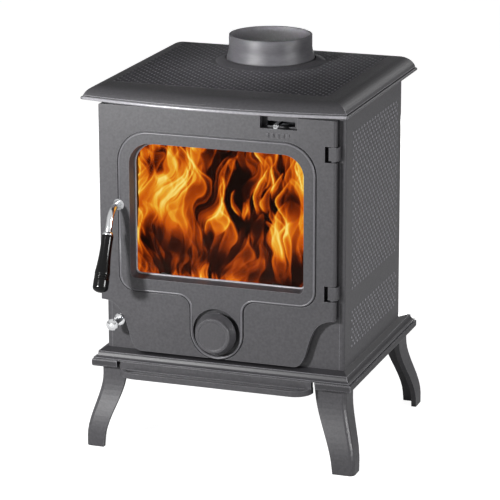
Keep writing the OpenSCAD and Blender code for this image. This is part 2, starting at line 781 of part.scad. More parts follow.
// Outline of the door: straight above, with an S-curve cut from each lower corner
module door_outline() {
    half = (door_r - door_l) / 2;
    foot = bottom_w / 2;
    z0 = door_z0 - base_z;
    curve = [for (i = [0:14]) cubic([half, ogee_h], [half - 55, ogee_h], [foot + 32, 0],
        [foot, z0], i / 14)];
    r = 2;
    translate([mid, base_z]) {
        polygon(concat(curve, [for (i = [14:-1:0]) [-curve[i][0], curve[i][1]]],
            [[-half, ogee_h + 20], [half, ogee_h + 20]]));
        translate([-half, ogee_h]) square([2 * half, door_z1 - base_z - ogee_h - r]);
        translate([-half + r, ogee_h]) square([2 * half - 2 * r, door_z1 - base_z - ogee_h]);
        for (s = [-1, 1]) translate([s * (half - r), door_z1 - base_z - r]) circle(r);
    }
}

// Moulding's outline: a border round the window, and a neck that ends in a round for the wheel
module moulding(inset) {
    w = glass_w / 2 + border - inset;
    z0 = base_z + glass_z - border - 2.5 + inset;
    neck = recess_r + 4.2 - inset;
    fillet = 19 + inset;
    rounded(mid - w, mid + w, z0, base_z + glass_z + glass_h + border - inset,
        glass_r_top + 16 - inset, 25 - inset);
    translate([mid, wheel_zz]) circle(neck, $fn = 96);
    translate([mid - neck, wheel_zz]) square([2 * neck, z0 - wheel_zz + 1]);
    difference() {
        translate([mid - neck - fillet, z0 - fillet]) square([2 * (neck + fillet), fillet + 1]);
        for (s = [-1, 1]) translate([mid + s * (neck + fillet), z0 - fillet]) circle(fillet);
        translate([mid - neck - fillet - 1, z0 - 2 * fillet - 1])
            square([2 * (neck + fillet) + 2, fillet + 1]);
    }
}

// The window at a given share of its depth, from the face to the glass
module window(inset) {
    w = glass_w / 2 - inset;
    rounded(mid - w, mid + w, base_z + glass_z + inset, base_z + glass_z + glass_h - inset,
        glass_r_top - inset / 2, glass_r_low);
}

module door_casting() color(iron) difference() {
    union() {
        upright(door_face, door_back) door_outline();
        for (i = [0, 1]) upright(door_face - rise * (i + 1) / 2, door_face + eps) moulding(2.2 * i);
        upright(door_back - eps, collar_back) translate([mid - collar_w / 2, collar_z0])
            square([collar_w, collar_z1 - collar_z0]);
        airwash_marks();
    }
    hull() {
        upright(door_face - rise - 1, door_face - rise) window(0);
        upright(collar_back + 1, collar_back + 2) window(reveal + 0.1);
    }
    upright(door_face - 1, door_face + 1.5) difference() {
        moulding(-1.8);
        moulding(0);
    }
    // recess and ports of the air wheel
    rod_y(mid, wheel_zz, door_face - 9, recess_floor, recess_r);
    at_ports(door_face, collar_back + 1);
    rod_y(mid, wheel_zz, door_face, door_back + 1, axle_r + fit);
    // channel for the sealing rope
    upright(door_back - rope_deep, door_back + 1) rope_loop(0);
    // notch for the air-wash knob
    block([knob_x - 27, door_face - 9, knob_z - 5.5], [knob_x + 31.5, door_back + 1, top_z]);
    // hinge: notches round the lugs, pin bores, and a round back edge
    for (z = [lug_low, lug_high]) {
        block([notch_x, door_face - 9, z - 3.5], [door_r + 1, door_back + 1, z + lug_h + 1.2]);
        rod_z(pin_x, pin_y, z - pin_reach - 0.5, z + lug_h + pin_reach + 0.5, pin_r + fit);
    }
    hinge_round();
    rod_y(spindle_x, spindle_zz, door_face - 1, door_back + 1, spindle_r + 3);
    // spot face in the moulding for the bush's flange
    rod_y(spindle_x, spindle_zz, door_face - 9, door_face + 0.1, spindle_r + 4 + fit);
    at_clips() rod_y(0, 7, collar_back - 6.5, collar_back + 1, 2.5 + fit);
}

// Takes off the door's corners beside the hinge, which would touch the frame as it opens
module hinge_round() {
    r = 4;
    for (y = [door_face + r, door_back - r]) translate([door_r - r, y, door_z0 - 1]) difference() {
        translate([0, y < pin_y ? -r - 1 : 0, 0]) cube([r + 1, r + 1, body_h]);
        cylinder(r = r, h = body_h);
    }
}

module at_ports(y0, y1) {
    for (i = [0:ports - 1]) let (a = 360 * i / ports + 30)
        rod_y(mid + port_pcr * cos(a), wheel_zz + port_pcr * sin(a), y0, y1, port_r);
}

// Five raised bars below the air-wash knob, of which the last is short
module airwash_marks() {
    for (i = [0:4])
        block([knob_x - 17 + i * 8, door_face - 1.2, knob_z - (i < 4 ? 19 : 16)],
            [knob_x - 13 + i * 8, door_face + eps, knob_z - 12]);
}

// Loop of sealing rope, a margin slimmer on each side
module rope_loop(slim) difference() {
    opening(rope_in + rope_w - slim);
    opening(rope_in + slim);
}

module door_seal() color(rope) upright(door_back - rope_deep, front - slack) rope_loop(0.1);

seal_t = 1.5;
seal_lap = 2;                         // lap of the glass over the collar, at the sides
glass_lap = 5;                        // lap of the glass over the collar, above and below
glass_front = collar_back + seal_t;

module glass_seal() color(rope) upright(collar_back, glass_front) difference() {
    window(reveal - seal_lap);
    window(reveal);
}

module door_glass() color([0.35, 0.25, 0.18, 0.6]) upright(glass_front, glass_front + glass_t)
    translate([mid - glass_w / 2 + reveal - seal_lap, base_z + glass_z + reveal - glass_lap])
        square([glass_w - 2 * (reveal - seal_lap), glass_h - 2 * (reveal - glass_lap)]);

clip_x = 90;
clip_w = 16;
glass_edge = reveal - glass_lap;      // inset of the glass edge from the window's face size
// Places children at the four clips; their +Z points away from the glass's middle
module at_clips() {
    for (s = [-1, 1]) {
        translate([mid + s * clip_x, 0, base_z + glass_z + glass_h - glass_edge]) children();
        translate([mid + s * clip_x, 0, base_z + glass_z + glass_edge]) mirror([0, 0, 1]) children();
    }
}

module glass_clips() color(steel) at_clips() difference() {
    y1 = glass_front + glass_t + 2;
    union() {
        block([-clip_w / 2, collar_back, 1], [clip_w / 2, y1, 12]);
        block([-clip_w / 2, y1 - 2, -7], [clip_w / 2, y1, 1 + eps]);
    }
    rod_y(0, 7, collar_back - 1, y1 + 1, 2.5 + fit);
}

module glass_clip_screws() color(steel) at_clips() {
    y1 = glass_front + glass_t + 2;
    rod_y(0, 7, collar_back - 6, y1 + eps, 2.5);
    rod_y(0, 7, y1, y1 + 2.5, 4.4);
}

module handle_bush() color(chrome) translate([spindle_x, door_back, spindle_zz]) rotate([90, 0, 0])
    rotate_extrude() polygon([[spindle_r + fit, 0], [spindle_r + 3, 0], [spindle_r + 3, door_t],
        [spindle_r + 4, door_t], [spindle_r + 4, door_t + 2], [spindle_r + 2.6, door_t + 3.4],
        [spindle_r + fit, door_t + 3.4]]);

module air_wheel_axle() color(steel) {
    rod_y(mid, wheel_zz, wheel_face + 6, door_back + eps, axle_r);
    rod_y(mid, wheel_zz, door_back, door_back + 3, 8);
}

// ---------- handle and latch ----------

lever_r = 4.6;                        // radius of the bent part
stem_r = 4.5;                         // radius of the straight part inside the grip
lever_bend = 22;                      // radius of the lever's bend
lever_out = 15.4;                     // straight run in front of the door
lever_down = 26;                      // straight run after the bend
grip_end = 12;                        // radius of the grip's round end
bend_a = 90 - grip_tilt;

// Turns children from +Z upwards to the grip's axis, which points down and away from the door
module on_grip() {
    translate([spindle_x, door_face - lever_out, spindle_zz])
        translate([0, -lever_bend * sin(bend_a), -lever_bend * (1 - cos(bend_a))])
            rotate([180 - grip_tilt, 0, 0]) children();
}

module handle_lever() color(chrome) {
    rod_y(spindle_x, spindle_zz, door_face - lever_out - 0.5, cam_y - 0.5, spindle_r);
    rod_y(spindle_x, spindle_zz, cam_y - 1, cam_y + cam_t + nut_t, tail_r);
    translate([spindle_x, door_face - lever_out, spindle_zz - lever_bend])
        rotate([0, -90, 180]) rotate_extrude(angle = bend_a) translate([lever_bend, 0])
            circle(lever_r);
    on_grip() translate([0, 0, -0.5]) cylinder(r = stem_r, h = lever_down + grip_len - 11.5);
}

module handle_ferrule() color(chrome) on_grip() translate([0, 0, lever_down - 5])
    rotate_extrude() polygon([[stem_r + fit, 0], [6.8, 0], [8.4, 2.5], [8.4, 5], [stem_r + fit, 5]]);

// Radius of the grip at a height from the ferrule, and its height up to the round end
function grip_r(h) = cubic(8.4, 8, 6.6, grip_end, h / (grip_len - 8));

// Turned grip: a waist below the ferrule, then three grooves on the swelling, and a round end
module handle_grip() color([0.08, 0.08, 0.08]) on_grip() translate([0, 0, lever_down])
    rotate_extrude() polygon(concat([[0, grip_len], [0, grip_len - 11], [stem_r + fit, grip_len - 11],
        [stem_r + fit, 0]],
        [for (i = [0:9]) let (h = (grip_len - 8) * i / 12) [grip_r(h), h]],
        [for (i = [0:2], p = [[0, 0], [0.4, 0.7], [1.3, 0.7], [1.7, 0]])
            let (h = (grip_len - 8) * 0.78 + 2.6 * i + p[0]) [grip_r(h) - p[1], h]],
        [for (i = [11:12]) let (h = (grip_len - 8) * i / 12) [grip_r(h), h]],
        [for (i = [1:4]) [grip_end * cos(18 * i), grip_len - 8 + 8 * sin(18 * i)]]));

module latch_cam() color(steel) difference() {
    union() {
        rod_y(spindle_x, spindle_zz, cam_y, cam_y + cam_t, hub_r);
        block([spindle_x - tongue_len, cam_y, spindle_zz - tongue_w / 2],
            [spindle_x, cam_y + cam_t, spindle_zz + tongue_w / 2]);
    }
    rod_y(spindle_x, spindle_zz, cam_y - 1, cam_y + cam_t + 1, tail_r + fit);
}

module latch_nut() color(steel) difference() {
    translate([spindle_x, cam_y + cam_t, spindle_zz]) rotate([-90, 0, 0])
        cylinder(r = hub_r - 0.2, h = nut_t, $fn = 6);
    rod_y(spindle_x, spindle_zz, cam_y, cam_y + cam_t + nut_t + 1, tail_r + fit);
}

// ---------- air wheel, air-wash slide and riddling gear ----------

// Hollow cup in front of a ported shutter, joined by a hub that turns on the axle
module air_wheel() color(iron) {
    gap = 6;
    difference() {
        translate([mid, wheel_face, wheel_zz]) rotate([-90, 0, 0]) rotate_extrude($fn = 96)
            polygon([[0, 1], [wheel_r - 6, 1], [wheel_r - 4.5, 0], [wheel_r - 1.5, 0], [wheel_r, 1.5],
                [wheel_r + 1, 5], [wheel_r + 5, wheel_out - gap], [wheel_r + 2, wheel_out - gap],
                [wheel_r - 3, 5], [9, 5], [9, wheel_out + recess_deep - 4.3],
                [wheel_r + 3, wheel_out + recess_deep - 4.3],
                [wheel_r + 3, wheel_out + recess_deep - slack], [0, wheel_out + recess_deep - slack]]);
        rod_y(mid, wheel_zz, wheel_face + 5.5, recess_floor, axle_r + fit);
        at_ports(door_face - 6, recess_floor + 1);
    }
}

module airwash_slide() color(steel) difference() {
    block([mid - shutter_half, frame_back + slack, shutter_z0],
        [mid + shutter_half, frame_back + slack + shutter_t, shutter_z1]);
    upright(frame_back, frame_back + 9) slots(slide_left);
}

module airwash_rod() color(chrome)
    rod_y(knob_x, knob_z, door_face - 1, frame_back + slack, 2);

module airwash_knob() color(chrome) translate([knob_x, door_face - 1, knob_z]) rotate([90, 0, 0])
    rotate_extrude() polygon([[0, 0], [3, 0], [4, 1], [4.5, 3], [4.5, 5], [3.6, 6.6], [1.6, 7.4], [0, 7.4]]);

module riddling_rod() color(steel) {
    rod_y(rod_x, rod_z, front - 27, arm_y + rod_r, rod_r);
    rod_z(rod_x, arm_y, rod_z, arm_z + arm / 2, rod_r);
    block([rod_x - rod_r, arm_y - arm / 2, arm_z],
        [mid - grate_w / 2 + rail_w + 14, arm_y + arm / 2, arm_z + arm]);
}

module riddling_knob() color(chrome) translate([rod_x, front - 27, rod_z]) rotate([90, 0, 0])
    rotate_extrude()
        polygon([[0, 0], [5.5, 0], [6.4, 2], [9.5, 3.6], [9.5, 5.6], [8.2, 7], [4, 7.9], [0, 8.1]]);

// ---------- nodes ----------

base_plate();
leg_at(-leg_x, leg_front, 270);  // leg_front_left
leg_at(leg_x, leg_front, 0);  // leg_front_right
leg_at(-leg_x, leg_rear, 180);  // leg_rear_left
leg_at(leg_x, leg_rear, 90);  // leg_rear_right
leg_bolts();
ash_lip();
ash_lip_screws();
left_side_panel();
right_side_panel();
back_panel();
rear_blanking_plate();
blanking_plate_bolts();
front_frame();
hinge_pins();
door_catch();
airwash_guide();
riddling_escutcheon();
top_plate();
flue_collar();
flue_collar_bolts();
tie_rods();
left_firebrick();
right_firebrick();
back_firebrick();
baffle_plate();
grate_frame();
log_guard();
ash_pan();
door_casting();
door_glass();
glass_seal();
glass_clips();
glass_clip_screws();
door_seal();
handle_bush();
air_wheel_axle();
handle_lever();
handle_ferrule();
handle_grip();
latch_cam();
latch_nut();
air_wheel();
airwash_slide();
airwash_rod();
airwash_knob();
riddling_rod();
riddling_knob();
riddling_grate();
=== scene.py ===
"""Cast-iron wood burning stove: its finishes, pressed pips, turned fittings and fire."""

import logging
import math
from dataclasses import dataclass
from enum import Enum

import bmesh
import bpy
import numpy as np
from mathutils import Matrix, Vector

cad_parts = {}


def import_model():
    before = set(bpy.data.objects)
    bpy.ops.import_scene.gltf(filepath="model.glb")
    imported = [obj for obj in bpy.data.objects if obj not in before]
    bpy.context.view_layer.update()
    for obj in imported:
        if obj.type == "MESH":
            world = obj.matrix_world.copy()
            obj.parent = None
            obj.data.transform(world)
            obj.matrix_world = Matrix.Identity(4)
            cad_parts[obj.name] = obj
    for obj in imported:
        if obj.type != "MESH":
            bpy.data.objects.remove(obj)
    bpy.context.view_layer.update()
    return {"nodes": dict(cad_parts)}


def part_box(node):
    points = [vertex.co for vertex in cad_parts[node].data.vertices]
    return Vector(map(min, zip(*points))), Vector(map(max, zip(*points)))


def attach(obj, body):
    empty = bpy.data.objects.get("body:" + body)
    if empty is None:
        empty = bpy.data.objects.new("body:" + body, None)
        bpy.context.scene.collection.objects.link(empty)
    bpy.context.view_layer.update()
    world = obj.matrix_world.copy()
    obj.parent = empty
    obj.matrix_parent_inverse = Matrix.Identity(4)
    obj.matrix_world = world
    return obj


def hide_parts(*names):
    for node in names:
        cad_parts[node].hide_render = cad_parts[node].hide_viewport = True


Piece = bpy.types.Object
Material = bpy.types.Material
NodeTree = bpy.types.NodeTree
Nodes = dict[str, Piece]

log = logging.getLogger("stove")
MM = 0.001
UP = Vector((0, 0, 1))


class Body(Enum):
    """The bodies that new pieces ride on."""

    STOVE = "stove"
    DOOR = "door"
    HANDLE = "handle"
    AIR_WHEEL = "air_wheel"


class Slot(Enum):
    """The record's material slots that new pieces use."""

    CAST = "cast"
    CHROME = "chrome"
    GRIP = "grip"


# ---------- colours and nodes ----------


def linear(code: str) -> tuple[float, float, float, float]:
    """Turns an sRGB hex colour into linear light.

    Args:
        code: six hex digits, such as "57565A".

    Returns:
        Red, green, blue and an alpha of 1.
    """
    parts = [int(code[i : i + 2], 16) / 255 for i in (0, 2, 4)]
    light = [c / 12.92 if c <= 0.04045 else ((c + 0.055) / 1.055) ** 2.4 for c in parts]
    return (light[0], light[1], light[2], 1.0)


def add(tree: NodeTree, kind: str, inputs: dict | None = None, **settings) -> bpy.types.Node:
    """Adds one node with its settings, values and links.

    Args:
        tree: the node tree.
        kind: the node's type name, without the ShaderNode that starts them all.
        inputs: socket name or number to a plain value or to the socket that feeds it.
        settings: the node's own settings; stops gives a colour ramp's stops.

    Returns:
        The new node.
    """
    node = tree.nodes.new("ShaderNode" + kind)
    for name, value in settings.items():
        if name == "stops":
            ramp = node.color_ramp
            while len(ramp.elements) < len(value):
                ramp.elements.new(1.0)
            for element, (stop, colour) in zip(ramp.elements, value):
                element.position = stop
                element.color = colour
        else:
            setattr(node, name, value)
    for key, value in (inputs or {}).items():
        if isinstance(value, bpy.types.NodeSocket):
            tree.links.new(value, node.inputs[key])
        else:
            node.inputs[key].default_value = value
    return node


def per_metre(size_mm: float) -> float:
    """Noise scale whose features are about size_mm across."""
    return 1000 / size_mm


def new_tree(name: str) -> tuple[Material, NodeTree]:
    """Starts a material with an empty node tree.

    Args:
        name: the finish's name.

    Returns:
        The material and its tree.
    """
    material = bpy.data.materials.new(name)
    material.use_nodes = True
    material.node_tree.nodes.clear()
    return material, material.node_tree


def close(tree: NodeTree, shader: bpy.types.Node) -> None:
    """Joins a shader to the material's output."""
    add(tree, "OutputMaterial", {"Surface": shader.outputs[0]})


@dataclass(frozen=True)
class StovePaint:
    """Satin high-temperature stove paint sprayed on sand-cast grey iron.

    The sand mould leaves a fine grain and slow waves under the paint. Arrises take a lighter
    colour, partly edge wear where the paint thins and polishes and partly a painted highlight line.
    Grooves, gaps and faces beside or under parts, found by ambient occlusion, are painted near
    black: painted shade, partly soot and black lead. On a turned piece the grain is drawn out round
    the axis by the share turned.
    """

    name: str = "satin_stove_paint"
    colour: str = "4F4E51"
    # Lighter colour on arrises: partly edge wear, partly painted highlight.
    edge_wear_and_highlight: str = "8E8D92"
    deep: str = "434245"
    # Near black for crevices and gaps: painted shade, partly soot.
    soot_and_shade: str = "1C1B1D"
    grain_mm: float = 2.0
    wave_mm: float = 40.0
    roughness: float = 0.38
    round_mm: float = 0.35
    # Reach of the lighter edge colour: edge wear and painted highlight.
    edge_wear_and_highlight_mm: float = 0.9
    # Reach of the painted shade in crevices and gaps.
    corner_mm: float = 10.0
    shine: float = 0.5
    turned: float = 1.0

    def material(self) -> Material:
        """Mottled paint over cast grain, with rounded arrises painted lighter as wear and painted
        highlight, and painted shade in crevices.

        Returns:
            The material.
        """
        material, tree = new_tree(self.name)
        where = add(tree, "TexCoord").outputs["Object"]
        drawn = add(tree, "Mapping", {"Vector": where, "Scale": (self.turned, self.turned, 1.0)})
        mottle = add(
            tree,
            "TexNoise",
            {"Vector": drawn.outputs[0], "Scale": per_metre(3.6), "Detail": 3.0},
        )
        grain = add(
            tree,
            "TexNoise",
            {
                "Vector": drawn.outputs[0],
                "Scale": per_metre(self.grain_mm),
                "Detail": 2.0,
                "Roughness": 0.6,
            },
        )
        wave = add(tree, "TexNoise", {"Vector": where, "Scale": per_metre(self.wave_mm), "Detail": 1.0})
        tone = add(
            tree,
            "ValToRGB",
            {"Fac": mottle.outputs["Fac"]},
            stops=[(0.3, linear(self.deep)), (0.7, linear(self.colour))],
        )
        soft = add(tree, "Bevel", {"Radius": self.round_mm * MM}, samples=6)
        # Painted highlight and edge wear: where a wide bevel normal turns away from the true normal, the
        # lighter edge colour is mixed in.
        edge = add(tree, "Bevel", {"Radius": self.edge_wear_and_highlight_mm * MM}, samples=4)
        true = add(tree, "NewGeometry")
        turn = add(
            tree,
            "VectorMath",
            {0: edge.outputs[0], 1: true.outputs["Normal"]},
            operation="DOT_PRODUCT",
        )
        wear_and_highlight_share = add(
            tree,
            "MapRange",
            {
                "Value": turn.outputs["Value"],
                "From Min": 0.99,
                "From Max": 0.84,
                "To Min": 0.0,
                "To Max": 0.8,
            },
        )
        paint = add(
            tree,
            "Mix",
            {0: wear_and_highlight_share.outputs[0], 6: tone.outputs[0], 7: linear(self.edge_wear_and_highlight)},
            data_type="RGBA",
        )
        # Painted shade: ambient occlusion paints crevices, gaps and faces beside or under parts near
        # black.
        open_air = add(tree, "AmbientOcclusion", {"Distance": self.corner_mm * MM}, samples=6)
        unshaded_share = add(
            tree,
            "MapRange",
            {"Value": open_air.outputs["AO"], "From Min": 0.18, "From Max": 0.62},
        )
        skin = add(
            tree,
            "Mix",
            {0: unshaded_share.outputs[0], 6: linear(self.soot_and_shade), 7: paint.outputs[2]},
            data_type="RGBA",
        )
        gloss = add(
            tree,
            "MapRange",
            {
                "Value": grain.outputs["Fac"],
                "From Min": 0.3,
                "From Max": 0.7,
                "To Min": self.roughness - 0.05,
                "To Max": self.roughness + 0.07,
            },
        )
        waves = add(
            tree,
            "Bump",
            {
                "Height": wave.outputs["Fac"],
                "Normal": soft.outputs[0],
                "Distance": 0.5 * MM,
                "Strength": 0.2,
            },
        )
        sand = add(
            tree,
            "Bump",
            {
                "Height": grain.outputs["Fac"],
                "Normal": waves.outputs[0],
                "Distance": 0.14 * MM,
                "Strength": 0.4,
            },
        )
        shader = add(
            tree,
            "BsdfPrincipled",
            {
                "Base Color": skin.outputs[2],
                "Roughness": gloss.outputs[0],
                "Normal": sand.outputs[0],
                "Specular IOR Level": self.shine,
            },
        )
        close(tree, shader)
        return material


class Paint(Enum):
    """The stove paint by where it lies. The hob, its stippled ground, the flange and the base take
    darker copies, partly painted shade on faces that look up; the pips, the beads and the bore take
    lighter copies, as painted highlights and painted light.

    The colours are the paint's own, then its lighter edge colour (edge wear and painted highlight),
    where it lies deep, and the near black of painted shade in crevices, partly soot.
    """

    SHELL = StovePaint()
    # Painted shade: darker copies of the paint for the hob and base, partly for faces that look up;
    # their wide edge band paints a highlight on beads and arrises.
    HOB = StovePaint("stove_paint_on_hob", "48474A", "B4B3B8", "3E3D40", edge_wear_and_highlight_mm=2.0)
    BASE = StovePaint("stove_paint_on_base", "3B3A3D", "A2A1A6", "323134", edge_wear_and_highlight_mm=2.0)
    # Painted highlight: the pips are painted lighter than the ground round them, as glints.
    SIDE_PIPS = StovePaint(
        "stove_paint_on_side_pips", "8C8B90", "A2A1A6", "7C7B80", round_mm=0.05, grain_mm=1.2
    )
    # Painted highlight: as the side pips, lighter than the hob's ground.
    HOB_PIPS = StovePaint(
        "stove_paint_on_hob_pips", "5E5D61", "77767A", "525155", round_mm=0.05, roughness=0.5
    )
    # Painted shade: the hob's ground is as dark as the hob's paint.
    STIPPLE = StovePaint(
        "stove_paint_on_stipple",
        "47464A",
        "525155",
        "3E3D40",
        round_mm=0.05,
        roughness=0.75,
        shine=0.12,
    )
    TURNED = StovePaint(
        "turned_stove_paint", "4E4D51", "7C7B80", "444347", grain_mm=1.3, roughness=0.46, turned=0.25
    )
    # Painted light: the bore is painted lighter than the collar's outside, for light that falls inside
    # it.
    BORE = StovePaint("painted_light_in_the_bore", "77767A", "8E8D92", "6B6A6E", roughness=0.6)
    # Painted shade: the flange is painted darker, as the hob is.
    FLANGE = StovePaint(
        "stove_paint_on_flange", "3C3B3E", "47464A", "333235", roughness=0.7, shine=0.15
    )
    # Painted highlight: the door's moulding bead is painted lighter than the door.
    MOULDING = StovePaint(
        "stove_paint_on_bead", "6F6E72", "A2A1A6", "636266", roughness=0.32, round_mm=0.05
    )
    # Painted highlight: the bead at the glass is painted near white, as the light on the window's edge.
    GLASS_RIM = StovePaint(
        "painted_highlight_at_the_glass",
        "BDBCC1",
        "D4D3D8",
        "A9A8AD",
        "4B4A4D",
        roughness=0.3,
        round_mm=0.05,
    )
    # Painted highlight: the hob's lip bead is painted light and glossy, as a bright line.
    HOB_LIP = StovePaint(
        "painted_highlight_on_hob_bead",
        "A2A1A6",
        "BDBCC1",
        "8E8D92",
        roughness=0.22,
        round_mm=0.05,
        shine=0.9,
    )

    def material(self) -> Material:
        """Makes the option's material."""
        return self.value.material()


@dataclass(frozen=True)
class BareIron:
    """Bare grey cast iron, burnt dark in the fire: matt, scaly, with a little rust and ash."""

    name: str = "burnt_cast_iron"
    dark: str = "2B2927"
    light: str = "4A4540"
    rust: str = "5A4034"
    scale_mm: float = 5.0

    def material(self) -> Material:
        """Dark scale broken by rust, on a rough cast skin.

        Returns:
            The material.
        """
        material, tree = new_tree(self.name)
        where = add(tree, "TexCoord").outputs["Object"]
        scale = add(
            tree,
            "TexNoise",
            {"Vector": where, "Scale": per_metre(self.scale_mm), "Detail": 6.0},
        )
        tone = add(
            tree,
            "ValToRGB",
            {"Fac": scale.outputs["Fac"]},
            stops=[(0.3, linear(self.dark)), (0.58, linear(self.light)), (0.75, linear(self.rust))],
        )
        bump = add(
            tree,
            "Bump",
            {"Height": scale.outputs["Fac"], "Distance": 0.5 * MM, "Strength": 0.7},
        )
        shader = add(
            tree,
            "BsdfPrincipled",
            {"Base Color": tone.outputs[0], "Roughness": 0.82, "Normal": bump.outputs[0]},
        )
        close(tree, shader)
        return material


@dataclass(frozen=True)
class Vermiculite:
    """Pressed vermiculite board: matt golden tan flakes, sooted from below by the fire."""

    name: str = "pressed_vermiculite"
    tan: str = "B79B6E"
    pale: str = "CDB68C"
    soot_and_shade: str = "3B3129"
    flake_mm: float = 4.0

    def material(self) -> Material:
        """Flakes of two tans under patches of soot.

        Returns:
            The material.
        """
        material, tree = new_tree(self.name)
        where = add(tree, "TexCoord").outputs["Object"]
        flake = add(tree, "TexVoronoi", {"Vector": where, "Scale": per_metre(self.flake_mm)})
        soot_and_shade = add(tree, "TexNoise", {"Vector": where, "Scale": per_metre(70), "Detail": 5.0})
        board = add(
            tree,
            "ValToRGB",
            {"Fac": flake.outputs["Distance"]},
            stops=[(0.0, linear(self.pale)), (0.8, linear(self.tan))],
        )
        dirt = add(
            tree,
            "MapRange",
            {
                "Value": soot_and_shade.outputs["Fac"],
                "From Min": 0.35,
                "From Max": 0.62,
                "To Min": 0.25,
                "To Max": 0.9,
            },
        )
        mixed = add(
            tree,
            "Mix",
            {0: dirt.outputs[0], 6: board.outputs[0], 7: linear(self.soot_and_shade)},
            data_type="RGBA",
        )
        bump = add(
            tree,
            "Bump",
            {"Height": flake.outputs["Distance"], "Distance": 0.4 * MM, "Strength": 0.6},
        )
        shader = add(
            tree,
            "BsdfPrincipled",
            {"Base Color": mixed.outputs[2], "Roughness": 0.92, "Normal": bump.outputs[0]},
        )
        close(tree, shader)
        return material


@dataclass(frozen=True)
class DrawnMetal:
    """Plain steel or chrome plate: a metal whose roughness varies with handling marks."""

    name: str
    colour: str
    roughness: float
    spread: float
    mark_mm: float

    def material(self) -> Material:
        """Metal with smudges in its roughness and a faint drawn grain in its normal.

        Returns:
            The material.
        """
        material, tree = new_tree(self.name)
        where = add(tree, "TexCoord").outputs["Object"]
        marks = add(
            tree,
            "TexNoise",
            {"Vector": where, "Scale": per_metre(self.mark_mm), "Detail": 3.0},
        )
        rough = add(
            tree,
            "MapRange",
            {
                "Value": marks.outputs["Fac"],
                "From Min": 0.3,
                "From Max": 0.7,
                "To Min": self.roughness,
                "To Max": self.roughness + self.spread,
            },
        )
        bump = add(
            tree,
            "Bump",
            {"Height": marks.outputs["Fac"], "Distance": 0.05 * MM, "Strength": 0.2},
        )
        shader = add(
            tree,
            "BsdfPrincipled",
            {
                "Base Color": linear(self.colour),
                "Metallic": 1.0,
                "Roughness": rough.outputs[0],
                "Normal": bump.outputs[0],
            },
        )
        close(tree, shader)
        return material


@dataclass(frozen=True)
class BlackLacquer:
    """Turned grip in baked black lacquer: near black, with a clear wet gloss."""

    name: str = "baked_black_lacquer"
    colour: str = "050506"
    roughness: float = 0.12

    def material(self) -> Material:
        """Black gloss with the slight orange peel of baked lacquer.

        Returns:
            The material.
        """
        material, tree = new_tree(self.name)
        where = add(tree, "TexCoord").outputs["Object"]
        peel = add(tree, "TexNoise", {"Vector": where, "Scale": per_metre(3.0), "Detail": 1.0})
        rough = add(
            tree,
            "MapRange",
            {"Value": peel.outputs["Fac"], "To Min": self.roughness, "To Max": self.roughness + 0.06},
        )
        bump = add(
            tree,
            "Bump",
            {"Height": peel.outputs["Fac"], "Distance": 0.05 * MM, "Strength": 0.25},
        )
        shader = add(
            tree,
            "BsdfPrincipled",
            {
                "Base Color": linear(self.colour),
                "Roughness": rough.outputs[0],
                "Normal": bump.outputs[0],
                "Specular IOR Level": 0.24,
                "Coat Weight": 0.12,
                "Coat Roughness": 0.08,
            },
        )
        close(tree, shader)
        return material


@dataclass(frozen=True)
class CeramicGlass:
    """Rolled ceramic glass for stoves: clear, with a very faint straw tint and a slow rolling wave."""

    name: str = "ceramic_glass"
    tint: str = "FFFBF4"

    def material(self) -> Material:
        """Clear glass with a low gloss, whose faces wave slightly as rolled glass does.

        Returns:
            The material.
        """
        material, tree = new_tree(self.name)
        where = add(tree, "TexCoord").outputs["Object"]
        wave = add(tree, "TexNoise", {"Vector": where, "Scale": per_metre(70), "Detail": 1.0})
        bump = add(
            tree,
            "Bump",
            {"Height": wave.outputs["Fac"], "Distance": 0.05 * MM, "Strength": 0.3},
        )
        shader = add(
            tree,
            "BsdfPrincipled",
            {
                "Base Color": linear(self.tint),
                "Roughness": 0.0,
                "Normal": bump.outputs[0],
                "IOR": 1.1,
                "Transmission Weight": 1.0,
            },
        )
        close(tree, shader)
        return material


@dataclass(frozen=True)
class KnittedRope:
    """Knitted glass-fibre sealing rope, dyed black: soft matt stitches about 3 mm long.

    The stitches of neighbouring rows lean opposite ways, so a ridge comes at every second one.
    """

    name: str = "knitted_glass_fibre_rope"
    dark: str = "1B1B1A"
    light: str = "3E3D3A"
    stitch_mm: float = 3.0

    # Bands that the wave texture draws for each unit of its scale.
    BANDS = 3.15

    def material(self) -> Material:
        """Two crossing sets of diagonal ridges that read as knitted stitches.

        Returns:
            The material.
        """
        material, tree = new_tree(self.name)
        where = add(tree, "TexCoord").outputs["Object"]
        ridges = [
            add(
                tree,
                "TexWave",
                {
                    "Vector": add(
                        tree, "Mapping", {"Vector": where, "Rotation": (0.0, math.radians(a), 0.0)}
                    ).outputs[0],
                    "Scale": per_metre(2 * self.stitch_mm) / self.BANDS,
                    "Distortion": 1.0,
                },
            )
            for a in (45, -45)
        ]
        knit = add(
            tree,
            "Math",
            {0: ridges[0].outputs["Fac"], 1: ridges[1].outputs["Fac"]},
            operation="MAXIMUM",
        )
        tone = add(
            tree,
            "ValToRGB",
            {"Fac": knit.outputs[0]},
            stops=[(0.2, linear(self.dark)), (1.0, linear(self.light))],
        )
        bump = add(tree, "Bump", {"Height": knit.outputs[0], "Distance": 0.8 * MM, "Strength": 0.8})
        shader = add(
            tree,
            "BsdfPrincipled",
            {"Base Color": tone.outputs[0], "Roughness": 0.95, "Normal": bump.outputs[0]},
        )
        close(tree, shader)
        return material


